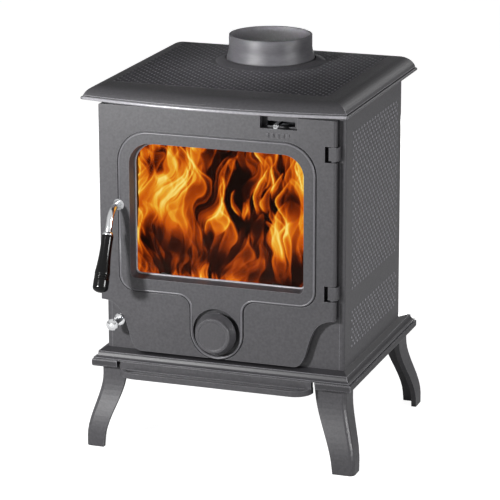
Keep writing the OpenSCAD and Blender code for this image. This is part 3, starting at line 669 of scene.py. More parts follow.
@dataclass(frozen=True)
class Flame:
    """Luminous wood gas: deep red where thin, orange in the veils and yellow along the edges."""

    name: str = "wood_gas_flame"
    strength: float = 1.0
    streak_mm: float = 9.0

    def material(self) -> Material:
        """Light whose colour follows the heat worked out on the flame's own grid.

        Returns:
            The material.
        """
        material, tree = new_tree(self.name)
        heat = add(tree, "Attribute", attribute_name="burn")
        where = add(tree, "TexCoord").outputs["Object"]
        rise = add(tree, "Mapping", {"Vector": where, "Scale": (1.0, 1.0, 0.3)})
        streak = add(
            tree,
            "TexNoise",
            {
                "Vector": rise.outputs[0],
                "Scale": per_metre(self.streak_mm),
                "Detail": 3.0,
                "Distortion": 0.6,
            },
        )
        flicker = add(
            tree,
            "MapRange",
            {
                "Value": streak.outputs["Fac"],
                "From Min": 0.25,
                "From Max": 0.75,
                "To Min": 0.94,
                "To Max": 1.05,
            },
        )
        level = add(
            tree,
            "Math",
            {0: heat.outputs["Fac"], 1: flicker.outputs[0]},
            operation="MULTIPLY",
        )
        glow = add(
            tree,
            "ValToRGB",
            {"Fac": level.outputs[0]},
            stops=[
                (0.0, linear("120806")),
                (0.14, linear("341108")),
                (0.32, linear("8C3209")),
                (0.50, linear("C9590D")),
                (0.68, linear("E0851C")),
                (0.84, linear("EDB438")),
                (1.0, linear("F8E27E")),
            ],
        )
        shader = add(
            tree,
            "BsdfPrincipled",
            {
                "Base Color": linear("050403"),
                "Roughness": 1.0,
                "Specular IOR Level": 0.0,
                "Emission Color": glow.outputs[0],
                "Emission Strength": self.strength,
            },
        )
        close(tree, shader)
        return material


# ---------- surfaces ----------


def surface(
    name: str, grid: np.ndarray, closed_rows: bool = False, closed_columns: bool = False
) -> Piece:
    """Makes a mesh from a grid of points, where each point is joined to the next along its row
    and to its like in the next row.

    Args:
        name: the piece's name.
        grid: points in metres, as rows by columns by 3.
        closed_rows: the last row is joined to the first.
        closed_columns: the last column is joined to the first.

    Returns:
        A smooth-shaded object at the origin, its poles merged and its faces outwards.
    """
    index = np.arange(grid.shape[0] * grid.shape[1]).reshape(grid.shape[:2])
    if closed_rows:
        index = np.vstack([index, index[:1]])
    if closed_columns:
        index = np.hstack([index, index[:, :1]])
    quads = np.stack([index[:-1, :-1], index[:-1, 1:], index[1:, 1:], index[1:, :-1]], -1).reshape(-1, 4)
    mesh = bpy.data.meshes.new(name)
    mesh.from_pydata(grid.reshape(-1, 3).tolist(), [], quads.tolist())
    return finished(name, mesh)


def finished(name: str, mesh: bpy.types.Mesh) -> Piece:
    """Merges points under a micron apart, turns faces outwards and makes a smooth-shaded object.

    Args:
        name: the piece's name.
        mesh: the mesh to finish.

    Returns:
        The object, linked to the scene.
    """
    work = bmesh.new()
    work.from_mesh(mesh)
    bmesh.ops.remove_doubles(work, verts=work.verts, dist=1e-6)
    bmesh.ops.recalc_face_normals(work, faces=work.faces)
    work.to_mesh(mesh)
    work.free()
    mesh.polygons.foreach_set("use_smooth", np.full(len(mesh.polygons), True))
    piece = bpy.data.objects.new(name, mesh)
    bpy.context.scene.collection.objects.link(piece)
    return piece


def lathe(
    name: str, profile: np.ndarray, centre: Vector, axis: Vector, turns: int = 72, ring: bool = False
) -> Piece:
    """Turns a profile round an axis: point = centre + r (e1 cos a + e2 sin a) + h axis.

    Args:
        name: the piece's name.
        profile: rows of radius and height along the axis, in metres.
        centre: the axis's own zero.
        axis: unit direction of the axis.
        turns: points round the axis.
        ring: the profile is a closed loop clear of the axis.

    Returns:
        The turned object.
    """
    e1 = axis.orthogonal().normalized()
    e2 = axis.cross(e1)
    angle = np.linspace(0, 2 * math.pi, turns, endpoint=False)
    spokes = np.cos(angle)[:, None] * np.array(e1) + np.sin(angle)[:, None] * np.array(e2)
    grid = (
        np.array(centre)
        + profile[:, None, :1] * spokes[None]
        + profile[:, None, 1:] * np.array(axis)[None, None]
    )
    return surface(name, grid, closed_rows=ring, closed_columns=True)


def tube(name: str, path: np.ndarray, radius: np.ndarray, sideways: Vector, sides: int = 24) -> Piece:
    """Carries a circle along a path that lies in a plane: point = path + r (s cos a + n sin a),
    where s is square to the plane and n square to s and to the path.

    Args:
        name: the piece's name.
        path: points in metres, evenly spaced enough for a smooth bend.
        radius: radius at each point; 0 at both ends closes the tube.
        sideways: unit direction square to the path's plane.
        sides: points round the tube.

    Returns:
        The tube.
    """
    ahead = np.gradient(path, axis=0)
    ahead /= np.maximum(np.linalg.norm(ahead, axis=1, keepdims=True), 1e-12)
    up = np.cross(ahead, np.array(sideways))
    up /= np.linalg.norm(up, axis=1, keepdims=True)
    angle = np.linspace(0, 2 * math.pi, sides, endpoint=False)
    across, along = np.cos(angle)[None, :, None], np.sin(angle)[None, :, None]
    around = across * np.array(sideways) + along * up[:, None]
    return surface(name, path[:, None] + radius[:, None, None] * around, closed_columns=True)


def lattice_noise(x: np.ndarray, y: np.ndarray, seed: int) -> np.ndarray:
    """Smooth noise from 0 to 1: random values on a square lattice, blended between the four
    nearest by the quintic ease t^3 (6 t^2 - 15 t + 10).

    Args:
        x: coordinate in lattice cells.
        y: coordinate in lattice cells.
        seed: picks the random values.

    Returns:
        The noise, as an array of the same shape.
    """
    table = np.random.default_rng(seed).random((256, 256))
    column, row = np.floor(x).astype(int), np.floor(y).astype(int)
    s, t = x - column, y - row
    s, t = s**3 * (s * (6 * s - 15) + 10), t**3 * (t * (6 * t - 15) + 10)
    upper, right = (row + 1) % 256, (column + 1) % 256
    row, column = row % 256, column % 256
    low = table[row, column] * (1 - s) + table[row, right] * s
    high = table[upper, column] * (1 - s) + table[upper, right] * s
    return low * (1 - t) + high * t


def two_octaves(x: np.ndarray, y: np.ndarray, seed: int) -> np.ndarray:
    """Lattice noise with a second octave of half the size and half the weight."""
    return (2 * lattice_noise(x, y, seed) + lattice_noise(2 * x, 2 * y, seed + 1)) / 3


def ease(t: np.ndarray) -> np.ndarray:
    """A soft step from 0 to 1: t^2 (3 - 2 t)."""
    t = np.clip(t, 0, 1)
    return t * t * (3 - 2 * t)


# ---------- placing and dressing ----------


def place(
    piece: Piece,
    body: Body,
    material: Material,
    slot: Slot | None = None,
    stands_for: tuple[str, ...] = (),
) -> None:
    """Gives a piece its material and body, and hides the CAD nodes that it replaces.

    Args:
        piece: the new piece, at the origin.
        body: the body that it rides on.
        material: its finish.
        slot: the record's material slot, if it has one; not used.
        stands_for: CAD nodes that it replaces.
    """
    piece.data.materials.append(material)
    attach(piece, body.value)
    if stands_for:
        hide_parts(*stands_for)
    log.info("%s: %d faces on %s", piece.name, len(piece.data.polygons), body.value)


def dress(nodes: Nodes, names: tuple[str, ...], material: Material) -> None:
    """Gives CAD nodes a finish through their material slots.

    Args:
        nodes: the CAD nodes by name.
        names: the nodes to dress.
        material: their finish.
    """
    for name in names:
        for part in nodes[name].material_slots:
            part.material = material
    log.info("%s on %s", material.name, ", ".join(names))


@dataclass
class Datum:
    """The shell's outer side, its middle from front to back, and the base plate's top, in metres."""

    side: float
    middle: float
    base: float

    @classmethod
    def read(cls) -> "Datum":
        """Reads the levels from the side panel's box."""
        low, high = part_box("right_side_panel")
        return cls(high.x, (low.y + high.y) / 2, low.z)


def centre_of(node: str) -> Vector:
    """Middle of a CAD node's box."""
    low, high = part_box(node)
    return (low + high) / 2


# ---------- view and light ----------


@dataclass
class Viewpoint:
    """The camera: a long lens in front of the stove, to its right and a little above."""

    azimuth: float = 19.4135
    elevation: float = 15.7808
    roll: float = -0.1333
    lens: float = 193.998
    sensor: float = 36.0
    place_x: float = 1.3436
    place_y: float = -3.8399
    place_z: float = 1.2825

    def build(self, datum: Datum) -> Piece:
        """Makes the camera and hands it to the scene.

        Args:
            datum: the stove's levels.

        Returns:
            The camera.
        """
        az, el, ro = (math.radians(a) for a in (self.azimuth, self.elevation, self.roll))
        back = Vector((math.sin(az) * math.cos(el), -math.cos(az) * math.cos(el), math.sin(el)))
        right = Vector((math.cos(az), math.sin(az), 0))
        up = back.cross(right)
        across = right * math.cos(ro) + up * math.sin(ro)
        upward = up * math.cos(ro) - right * math.sin(ro)
        data = bpy.data.cameras.new("camera")
        data.lens, data.sensor_width, data.sensor_fit = self.lens, self.sensor, "HORIZONTAL"
        data.clip_start, data.clip_end = 0.1, 60
        camera = bpy.data.objects.new("camera", data)
        bpy.context.scene.collection.objects.link(camera)
        turn = Matrix((across, upward, back)).transposed()
        spot = Vector((self.place_x, datum.middle + self.place_y, datum.base + self.place_z))
        camera.matrix_world = Matrix.Translation(spot) @ turn.to_4x4()
        bpy.context.scene.camera = camera
        log.info("camera at %s", tuple(round(v, 3) for v in spot))
        return camera


@dataclass(frozen=True)
class Lamp:
    """One square soft lamp: where it hangs, the point that it faces, its side and its watts.

    The spread is the full angle of its cone of light.
    """

    name: str
    spot: tuple[float, float, float]
    aim: tuple[float, float, float]
    size: float
    power: float
    spread_deg: float = 180.0

    def build(self) -> None:
        """Hangs the lamp and turns it to its aim."""
        data = bpy.data.lights.new(self.name, "AREA")
        data.shape, data.size, data.energy = "SQUARE", self.size, self.power
        data.spread = math.radians(self.spread_deg)
        lamp = bpy.data.objects.new(self.name, data)
        spot, aim = Vector(self.spot), Vector(self.aim)
        turn = (aim - spot).to_track_quat("-Z", "Y").to_matrix().to_4x4()
        lamp.matrix_world = Matrix.Translation(spot) @ turn
        bpy.context.scene.collection.objects.link(lamp)


@dataclass
class Studio:
    """A pale sweep of floor, a white surround and soft lamps."""

    fill: float = 0.09
    mirror: float = 0.62
    dark_wall: float = 0.14
    floor_glow: float = 0.96
    floor_mirror: float = 0.20
    floor_size: float = 9.0

    LAMPS = (
        Lamp("key", (-0.62, -1.30, 0.70), (-0.2, -0.1, 0.52), 0.12, 23),
        Lamp("right", (2.4, -0.6, 0.8), (0.1, 0, 0.35), 0.5, 30),
        Lamp("high", (-0.45, -0.9, 1.3), (-0.01, 0.06, 0.6), 0.1, 0.16, spread_deg=16),
        Lamp("back", (0.9, 2.2, 1.6), (0, 0, 0.3), 1.2, 6),
        Lamp("rear", (-0.5, 2.2, 0.32), (0, 0, 0.3), 0.6, 14),
    )

    def background(self) -> None:
        """A surround that is white where it is seen, a soft fill elsewhere, and in reflections a
        bright front that darkens towards the wall behind the stove."""
        world = bpy.data.worlds.new("surround")
        bpy.context.scene.world = world
        world.use_nodes = True
        tree = world.node_tree
        tree.nodes.clear()
        ray = add(tree, "LightPath")
        seen = add(
            tree,
            "Math",
            {0: ray.outputs["Is Camera Ray"], 1: ray.outputs["Is Transmission Ray"]},
            operation="MAXIMUM",
        )
        level = add(
            tree,
            "MapRange",
            {"Value": seen.outputs[0], "To Min": self.fill, "To Max": 1.0},
        )
        towards = add(
            tree,
            "SeparateXYZ",
            {"Vector": add(tree, "TexCoord").outputs["Generated"]},
        )
        wall = add(
            tree,
            "MapRange",
            {
                "Value": towards.outputs["Y"],
                "From Min": -0.1,
                "From Max": 0.7,
                "To Min": self.mirror,
                "To Max": self.dark_wall,
            },
        )
        mirrored = add(
            tree,
            "Math",
            {0: ray.outputs["Is Glossy Ray"], 1: wall.outputs[0]},
            operation="MULTIPLY",
        )
        strength = add(
            tree,
            "Math",
            {0: level.outputs[0], 1: mirrored.outputs[0]},
            operation="MAXIMUM",
        )
        light = add(
            tree,
            "Background",
            {"Color": linear("FFFFFF"), "Strength": strength.outputs[0]},
        )
        add(tree, "OutputWorld", {"Surface": light.outputs[0]})

    def floor(self) -> None:
        """A flat floor, white to the eye and in reflections, that keeps the stove's soft shadow."""
        half = self.floor_size / 2
        x, y = np.meshgrid(np.linspace(-half, half, 3), np.linspace(-half, half, 3))
        sheet = surface("floor", np.stack([x, y, 0 * x], -1))
        material, tree = new_tree("pale_sweep")
        ray = add(tree, "LightPath")
        shown = add(
            tree,
            "Math",
            {0: ray.outputs["Is Camera Ray"], 1: self.floor_glow},
            operation="MULTIPLY",
        )
        level = add(
            tree,
            "Math",
            {0: ray.outputs["Is Glossy Ray"], 1: self.floor_mirror, 2: shown.outputs[0]},
            operation="MULTIPLY_ADD",
        )
        matt = add(tree, "BsdfDiffuse", {"Color": linear("B8B8B8")})
        glow = add(tree, "Emission", {"Color": linear("FFFFFF"), "Strength": level.outputs[0]})
        both = add(tree, "AddShader", {0: matt.outputs[0], 1: glow.outputs[0]})
        close(tree, both)
        sheet.data.materials.append(material)

    def build(self) -> None:
        """Sets the surround, the floor and the lamps."""
        self.background()
        self.floor()
        for lamp in self.LAMPS:
            lamp.build()
        bpy.context.scene.view_settings.view_transform = "Standard"
        log.info("studio set")


# ---------- sub-assemblies ----------


@dataclass
class PipField:
    """Rows of small pressed pips, staggered like a lattice of diamonds.

    A pip is a low dome: rings at full, three quarter and a third of its radius, and a point, with
    its foot sunk under the plate.
    """

    across: float = 14.0
    row: float = 6.67
    radius: float = 2.5
    height: float = 1.1
    sides: int = 8

    def spots(self, a0: float, a1: float, b0: float, b1: float) -> np.ndarray:
        """Staggered places in a rectangle.

        Args:
            a0: first edge along the rows.
            a1: last edge along the rows.
            b0: first row.
            b1: last row.

        Returns:
            Rows of the two coordinates, in millimetres.
        """
        rows = np.arange(b0, b1 + 0.01, self.row)
        steps = np.arange(a0, a1 + 0.01, self.across / 2)
        a, b = np.meshgrid(steps, rows)
        parity = (np.arange(len(rows))[:, None] + np.arange(len(steps))[None]) % 2 == 0
        return np.stack([a[parity], b[parity]], -1)

    def pips(
        self, name: str, spots: np.ndarray, to_space: np.ndarray, origin: Vector
    ) -> Piece:
        """Sets a dome at each spot: point = origin + (spot + r cos a, spot + r sin a, h) turned.

        Args:
            name: the piece's name.
            spots: places in millimetres.
            to_space: rows are the directions of the rows, of the columns and of the height.
            origin: the point that the places are measured from.

        Returns:
            One object with all the pips.
        """
        angle = np.linspace(0, 2 * math.pi, self.sides, endpoint=False)
        radii = np.array([1.0, 1.0, 0.74, 0.34])
        levels = np.array([-0.35, 0.0, 0.72, 1.0])
        ring = np.stack(
            [
                radii[:, None] * np.cos(angle) * self.radius,
                radii[:, None] * np.sin(angle) * self.radius,
                np.repeat(levels[:, None], self.sides, 1) * self.height,
            ],
            -1,
        ).reshape(-1, 3)
        count, n = len(spots), self.sides
        local = ring[None] + np.concatenate([spots, np.zeros((count, 1))], 1)[:, None]
        points = np.array(origin) + (local @ to_space) * MM
        j = np.arange(n)
        side = np.stack([j, (j + 1) % n, n + (j + 1) % n, n + j], -1)
        bands = len(radii) - 1
        walls = np.concatenate([side + k * n for k in range(bands)])
        start = (np.arange(count) * len(ring))[:, None, None]
        quads = (walls[None] + start).reshape(-1, 4).tolist()
        caps = np.concatenate([(bands * n + j)[None, None] + start, j[::-1][None, None] + start])
        caps = caps.reshape(-1, n).tolist()
        mesh = bpy.data.meshes.new(name)
        mesh.from_pydata(points.reshape(-1, 3).tolist(), [], quads + caps)
        return finished(name, mesh)


@dataclass
class Shell:
    """The fixed iron shell: plates, base, legs and hob, with the pip fields on its sides and top."""

    upper: tuple[float, float, float, float] = (-110.0, 121.0, 120.0, 361.0)
    lower: tuple[float, float, float, float] = (-110.0, 121.0, 28.5, 86.0)
    hob_field: tuple[float, float, float, float] = (-175.0, 161.0, -145.0, 158.0)
    hob_row: float = 7.4
    hob_border: float = 3.0
    collar_clear: float = 90.0

    PLAIN = (
        "leg_front_left",
        "leg_front_right",
        "leg_rear_left",
        "leg_rear_right",
        "ash_lip",
        "left_side_panel",
        "right_side_panel",
        "back_panel",
        "rear_blanking_plate",
        "front_frame",
    )

    def side_pips(self, datum: Datum) -> None:
        """Two fields on each side panel, parted by a plain band.

        Args:
            datum: the stove's levels.
        """
        # Painted highlight: the side pips take a lighter paint than the panel.
        field, paint = PipField(), Paint.SIDE_PIPS.material()
        spots = np.concatenate([field.spots(*self.upper), field.spots(*self.lower)])
        for name, sign in (("right_side_pips", 1), ("left_side_pips", -1)):
            turned = np.array([[0, 1, 0], [0, 0, 1], [sign, 0, 0]], float)
            origin = Vector((sign * datum.side, datum.middle, datum.base))
            place(field.pips(name, spots, turned, origin), Body.STOVE, paint, Slot.CAST)

    def hob_pips(self, datum: Datum) -> None:
        """The field on the hob, left plain round the collar's flange.

        Args:
            datum: the stove's levels.
        """
        field = PipField(row=self.hob_row, radius=2.0, height=0.9)
        spots = field.spots(*self.hob_field)
        collar_y = (centre_of("flue_collar").y - datum.middle) / MM
        clear = np.hypot(spots[:, 0], spots[:, 1] - collar_y) > self.collar_clear
        origin = Vector((0, datum.middle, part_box("top_plate")[1].z))
        pips = field.pips("hob_pips", spots[clear], np.eye(3), origin)
        # Painted highlight: the hob pips take a lighter paint than the ground.
        place(pips, Body.STOVE, Paint.HOB_PIPS.material(), Slot.CAST)

    def hob_ground(self, datum: Datum) -> None:
        """The thin stippled ground between the hob's pips: a slab whose edges are broken, as
        rings of its four corners drawn in towards the middle by a share, each at its height.

        Args:
            datum: the stove's levels.
        """
        out = self.hob_border
        x0, x1, y0, y1 = np.add(self.hob_field, (-out, out, -out, out))
        loop = np.array([(x0, y0), (x1, y0), (x1, y1), (x0, y1)])
        middle = loop.mean(0)
        rings = [(1.0, -0.3), (1.0, 0.12), (0.997, 0.22), (0.0, 0.22), (0.0, -0.3)]
        share, rise = np.array(rings).T[:, :, None, None]
        flat = middle + (loop - middle) * share
        grid = np.concatenate([flat, np.broadcast_to(rise, flat.shape)[..., :1]], -1)
        origin = np.array([0, datum.middle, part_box("top_plate")[1].z])
        ground = surface("hob_ground", origin + grid * MM, closed_rows=True, closed_columns=True)
        place(ground, Body.STOVE, Paint.STIPPLE.material(), Slot.CAST)

    def build(self, nodes: Nodes, datum: Datum, paint: Material) -> None:
        """Dresses the plates and adds the pips.

        Args:
            nodes: the CAD nodes by name.
            datum: the stove's levels.
            paint: the finish.
        """
        dress(nodes, self.PLAIN, paint)
        # Painted shade: the hob and base plates take darker copies of the paint.
        dress(nodes, ("top_plate",), Paint.HOB.material())
        dress(nodes, ("base_plate",), Paint.BASE.material())
        self.side_pips(datum)
        self.hob_pips(datum)
        self.hob_ground(datum)


@dataclass
class FlueCollar:
    """The flanged collar on the hob: a turned wall with a swept foot, in a low tapered flange."""

    bore: float = 61.0
    rim: float = 65.2
    foot: float = 69.0
    neck: float = 64.7
    flange: float = 86.0
    flange_t: float = 7.0
    hob_t: float = 8.0
    swept: float = 20.0
    turns: int = 128

    def wall(self, height: float) -> np.ndarray:
        """The collar's wall and neck, as a closed loop of radius and height over the hob.

        The wall's outer radius eases from foot to rim with the square of the distance left.

        Args:
            height: height of the rim over the hob, in millimetres.

        Returns:
            Rows of radius and height, in metres.
        """
        rise = np.linspace(0, self.swept, 12)
        flare = self.rim + (self.foot - self.rim) * (1 - rise / self.swept) ** 2
        wall = np.stack([flare, self.flange_t + rise], -1)
        start = [
            (self.bore, -self.hob_t),
            (self.neck, -self.hob_t),
            (self.neck, self.flange_t - 3.7),
            (self.foot, self.flange_t - 3.7),
        ]
        end = [
            (self.rim, height - 1.2),
            (self.rim - 0.35, height - 0.35),
            (self.rim - 1.2, height),
            (self.bore + 1.0, height),
            (self.bore + 0.3, height - 0.3),
            (self.bore, height - 1.0),
        ]
        return np.concatenate([np.array(start), wall, np.array(end)]) * MM

    def seat(self) -> np.ndarray:
        """The flange, as a closed loop: a groove's floor round the foot, a lip, and a long fall.

        Returns:
            Rows of radius and height over the hob, in metres.
        """
        loop = [
            (self.neck + 0.1, 0.02),
            (self.flange - 0.5, 0.02),
            (self.flange, 0.4),
            (self.flange - 0.4, 0.9),
            (self.foot + 2.3, self.flange_t - 1.5),
            (self.foot + 1.8, self.flange_t - 1.5),
            (self.foot + 1.5, self.flange_t - 1.9),
            (self.foot + 1.4, self.flange_t - 3.6),
            (self.foot - 0.5, self.flange_t - 3.6),
            (self.neck + 0.1, self.flange_t - 3.8),
        ]
        return np.array(loop) * MM

    def build(self) -> None:
        """Turns the collar in its place, with its bore in a lighter finish of its own, as painted light
        inside it.
        """
        hob_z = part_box("top_plate")[1].z
        centre = centre_of("flue_collar")
        centre.z = hob_z
        wall = self.wall((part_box("flue_collar")[1].z - hob_z) / MM)
        piece = lathe("turned_flue_collar", wall, centre, UP, turns=self.turns, ring=True)
        place(piece, Body.STOVE, Paint.TURNED.material(), Slot.CAST, ("flue_collar",))
        # Painted light: the bore's faces take a lighter paint, for light that falls inside the collar.
        piece.data.materials.append(Paint.BORE.material())
        middles = np.empty(len(piece.data.polygons) * 3, np.float32)
        piece.data.polygons.foreach_get("center", middles)
        out = np.hypot(*(middles.reshape(-1, 3)[:, :2] - np.array(centre)[:2]).T)
        inside = (out < (self.bore + 0.6) * MM).astype(np.int32)
        piece.data.polygons.foreach_set("material_index", inside)
        flange = lathe("collar_flange", self.seat(), centre, UP, turns=self.turns, ring=True)
        place(flange, Body.STOVE, Paint.FLANGE.material(), Slot.CAST)


@dataclass
class Handle:
    """Bent chrome lever, its ferrule and the turned black grip, which hangs down off the door."""

    tilt: float = 23.7
    bend: float = 22.0
    run_out: float = 15.4
    run_down: float = 26.0
    grip_len: float = 88.0
    grip_end: float = 12.0
    grip_top: float = 9.2
    swollen: float = 0.72
    first_groove: float = 0.74
    groove: float = 0.7
    groove_apart: float = 2.6
    end_round: float = 8.0
    waist: float = 8.4
    low_waist: float = 9.0
    spindle_r: float = 5.0
    tail_r: float = 3.0
    lever_r: float = 5.2
    in_bush: float = 3.4
    in_grip: float = 30.0
    cam_lap: float = 0.5

    def axis(self) -> Vector:
        """Direction of the grip, down and away from the door."""
        a = math.radians(self.tilt)
        return Vector((0, -math.sin(a), -math.cos(a)))

    def bend_end(self, spindle: Vector) -> Vector:
        """Where the bend runs out into the grip's axis.

        Args:
            spindle: the point of the spindle's axis on the door's face.

        Returns:
            The start of the straight run.
        """
        a = math.radians(90 - self.tilt)
        out = self.run_out + self.bend * math.sin(a)
        return spindle + Vector((0, -out, -self.bend * (1 - math.cos(a)))) * MM

    def lever(self, spindle: Vector, inner: float) -> Piece:
        """Straight spindle, quarter-like bend and straight stem, as one tube.

        Args:
            spindle: the point of the spindle's axis on the door's face.
            inner: y of the spindle's inner end.

        Returns:
            The lever.
        """
        outer = spindle.y - self.run_out * MM
        start = np.array([[spindle.x, y, spindle.z] for y in (inner, inner, spindle.y, outer)])
        angle = np.radians(np.linspace(0, 90 - self.tilt, 20))[1:, None]
        hub = np.array([spindle.x, outer, spindle.z - self.bend * MM])
        turn = hub + self.bend * MM * np.concatenate([0 * angle, -np.sin(angle), np.cos(angle)], 1)
        way = np.array(self.axis())
        end = self.run_down + self.in_grip
        tail = turn[-1] + way * np.array([[10.0], [end], [end]]) * MM
        path = np.concatenate([start, turn, tail])
        path[0] += (0, 1e-7, 0)
        path[-1] += way * 1e-7
        spindle_r, lever_r = self.spindle_r, self.lever_r
        radius = np.concatenate(
            [
                [0, spindle_r, spindle_r, spindle_r - 0.2],
                np.full(len(turn), lever_r),
                [lever_r, lever_r - 0.1, 0],
            ]
        )
        return tube("chrome_lever", path, radius * MM, Vector((1, 0, 0)), 28)

    def grip_profile(self) -> np.ndarray:
        """Waist below the ferrule that swells to the end's radius at the share swollen of the
        length, as a cubic, with three grooves cut as the square of a sine, and a round end.

        Returns:
            Rows of radius and distance down the axis, in metres.
        """
        straight = self.grip_len - self.end_round
        t = np.linspace(0, 1, 241)
        s = np.minimum(t / self.swollen, 1)
        belly = (1 - s) ** 3 * self.grip_top + s**3 * self.grip_end
        belly += 3 * (1 - s) ** 2 * s * self.waist + 3 * (1 - s) * s**2 * self.low_waist
        along = (t - self.first_groove) * straight
        banded = (along > 0) & (along < 3 * self.groove_apart)
        cut = np.sin(along * math.pi / self.groove_apart) ** 2
        belly -= self.groove * np.where(banded, cut, 0)
        keep = banded | (np.arange(len(t)) % 8 == 0)
        t, belly = t[keep], belly[keep]
        a = np.radians(np.linspace(0, 90, 10))[1:]
        body = np.stack([belly, straight * t], -1)
        end = np.stack([self.grip_end * np.cos(a), straight + self.end_round * np.sin(a)], -1)
        end[-1, 0] = 0
        return np.concatenate([[[0, 0.0], [self.grip_top - 0.6, 0.0]], body + [0, 0.3], end]) * MM

    def ferrule_profile(self) -> np.ndarray:
        """The ferrule as a closed loop: a step, a taper and a rounded collar.

        Returns:
            Rows of radius and distance down the axis, in metres.
        """
        taper = [(4.6, -5), (6.8, -5), (7.2, -4.6), (8.1, -2.9)]
        collar = [(8.4, -2.4), (8.4, -0.4), (8.1, 0), (4.6, 0)]
        return np.array(taper + collar) * MM

    def build(self, chrome: Material, black: Material) -> None:
        """Makes the lever, ferrule and grip.

        Args:
            chrome: finish of the lever and ferrule.
            black: finish of the grip.
        """
        x, z = centre_of("handle_lever").x, centre_of("handle_bush").z
        spindle = Vector((x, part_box("handle_bush")[0].y + self.in_bush * MM, z))
        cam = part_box("latch_cam")[0].y
        lever = self.lever(spindle, cam - 0.4 * MM)
        place(lever, Body.HANDLE, chrome, Slot.CHROME)
        lap, thick = self.cam_lap * MM, self.tail_r * MM
        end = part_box("handle_lever")[1].y - cam + lap
        stud = np.array([[0, 0], [thick, 0], [thick, end], [0, end]])
        foot = Vector((x, cam - lap, z))
        tail = lathe("spindle_tail", stud, foot, Vector((0, 1, 0)), turns=24)
        place(tail, Body.HANDLE, chrome, Slot.CHROME)
        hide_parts("handle_lever")
        start = self.bend_end(spindle) + self.axis() * self.run_down * MM
        ring = self.ferrule_profile()
        ferrule = lathe("turned_ferrule", ring, start, self.axis(), turns=48, ring=True)
        place(ferrule, Body.HANDLE, chrome, Slot.CHROME, ("handle_ferrule",))
        grip = lathe("turned_grip", self.grip_profile(), start, self.axis(), turns=48)
        place(grip, Body.HANDLE, black, Slot.GRIP, ("handle_grip",))


@dataclass
class DoorBead:
    """The slim bead that runs along the step of the door's moulding: round the window, down the
    neck, round the wheel's recess and back, from one side of the handle's rosette to the other.

    Sizes are in millimetres, across from the door's middle and up from the base plate. The window
    has half its width, its lower and upper edge, and the radii of its upper and lower corners.
    """

    half: float = 155.7
    low: float = 100.3
    high: float = 348.2
    top_r: float = 48.2
    low_r: float = 23.2
    neck: float = 40.4
    fillet: float = 20.8
    radius: float = 1.7
    rosette: float = 8.0
    seat: float = 0.8
    window: tuple[float, float, float, float, float] = (136.6, 121.9, 329.1, 32.5, 8.0)
    rim_radius: float = 1.8

    def outline(self, rosette_z: float, wheel_z: float) -> np.ndarray:
        """The bead's middle line, as arcs: point = centre + r (cos a, sin a), joined by straights.

        Args:
            rosette_z: height of the rosette's middle.
            wheel_z: height of the air wheel's middle.

        Returns:
            Rows of across and up.
        """
        w, t, q, f = self.half, self.top_r, self.low_r, self.fillet
        side = self.neck + f
        arcs = (
            (-w + t, self.high - t, t, 180, 90),
            (w - t, self.high - t, t, 90, 0),
            (w - q, self.low + q, q, 0, -90),
            (side, self.low - f, f, 90, 180),
            (0, wheel_z, self.neck, 0, -180),
            (-side, self.low - f, f, 0, 90),
            (-w + q, self.low + q, q, -90, -180),
        )
        start, end = [[-w, rosette_z + self.rosette]], [[-w, rosette_z - self.rosette]]
        return np.concatenate([start, self.bends(arcs), end])

    def rim(self) -> np.ndarray:
        """Middle line of the window's bead, as in outline. It closes under the window's middle.

        Returns:
            Rows of across and up.
        """
        w, low, high, t, q = self.window
        arcs = (
            (-w + q, low + q, q, -90, -180),
            (-w + t, high - t, t, 180, 90),
            (w - t, high - t, t, 90, 0),
            (w - q, low + q, q, 0, -90),
        )
        return np.concatenate([[[0, low]], self.bends(arcs), [[0, low]]])

    @staticmethod
    def bends(arcs: tuple[tuple[float, float, float, float, float], ...]) -> np.ndarray:
        """Points along arcs.

        Args:
            arcs: each arc's centre across and up, radius, and first and last angle in degrees.

        Returns:
            Rows of across and up.
        """
        rows = []
        for x, z, r, a0, a1 in arcs:
            a = np.radians(np.linspace(a0, a1, max(9, int(abs(a1 - a0) * r / 180) + 2)))
            rows.append(np.stack([x + r * np.cos(a), z + r * np.sin(a)], -1))
        return np.concatenate(rows)

    @staticmethod
    def bead(name: str, line: np.ndarray, foot: Vector, size: float) -> Piece:
        """Carries a round along a line on the door.

        Args:
            name: the piece's name.
            line: rows of across and up, in millimetres.
            foot: the point that across and up are counted from, at the bead's depth.
            size: the bead's radius in millimetres.

        Returns:
            The bead.
        """
        path = np.array(foot) + np.insert(line, 1, 0, axis=1) * MM
        first = path[0] - (path[1] - path[0]) * 1e-4
        last = path[-1] + (path[-1] - path[-2]) * 1e-4
        radius = np.full(len(path) + 2, size * MM)
        radius[[0, -1]] = 0
        return tube(name, np.concatenate([[first], path, [last]]), radius, Vector((0, 1, 0)), 12)

    def build(self, datum: Datum) -> None:
        """Runs a bead along the moulding, and another round the glass, both painted lighter than the
        door as highlight lines.

        Args:
            datum: the stove's levels.
        """
        wheel, rosette = centre_of("air_wheel"), centre_of("handle_bush")
        line = self.outline((rosette.z - datum.base) / MM, (wheel.z - datum.base) / MM)
        foot = Vector((wheel.x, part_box("door_casting")[0].y + self.seat * MM, datum.base))
        step = self.bead("moulding_bead", line, foot, self.radius)
        place(step, Body.DOOR, Paint.MOULDING.material(), Slot.CAST)
        foot.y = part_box("door_glass")[0].y - self.rim_radius * MM
        # Painted highlight: the bead round the glass stands for the light on the window's edge.
        rim = self.bead("window_highlight_bead", self.rim(), foot, self.rim_radius)
        place(rim, Body.DOOR, Paint.GLASS_RIM.material(), Slot.CAST)


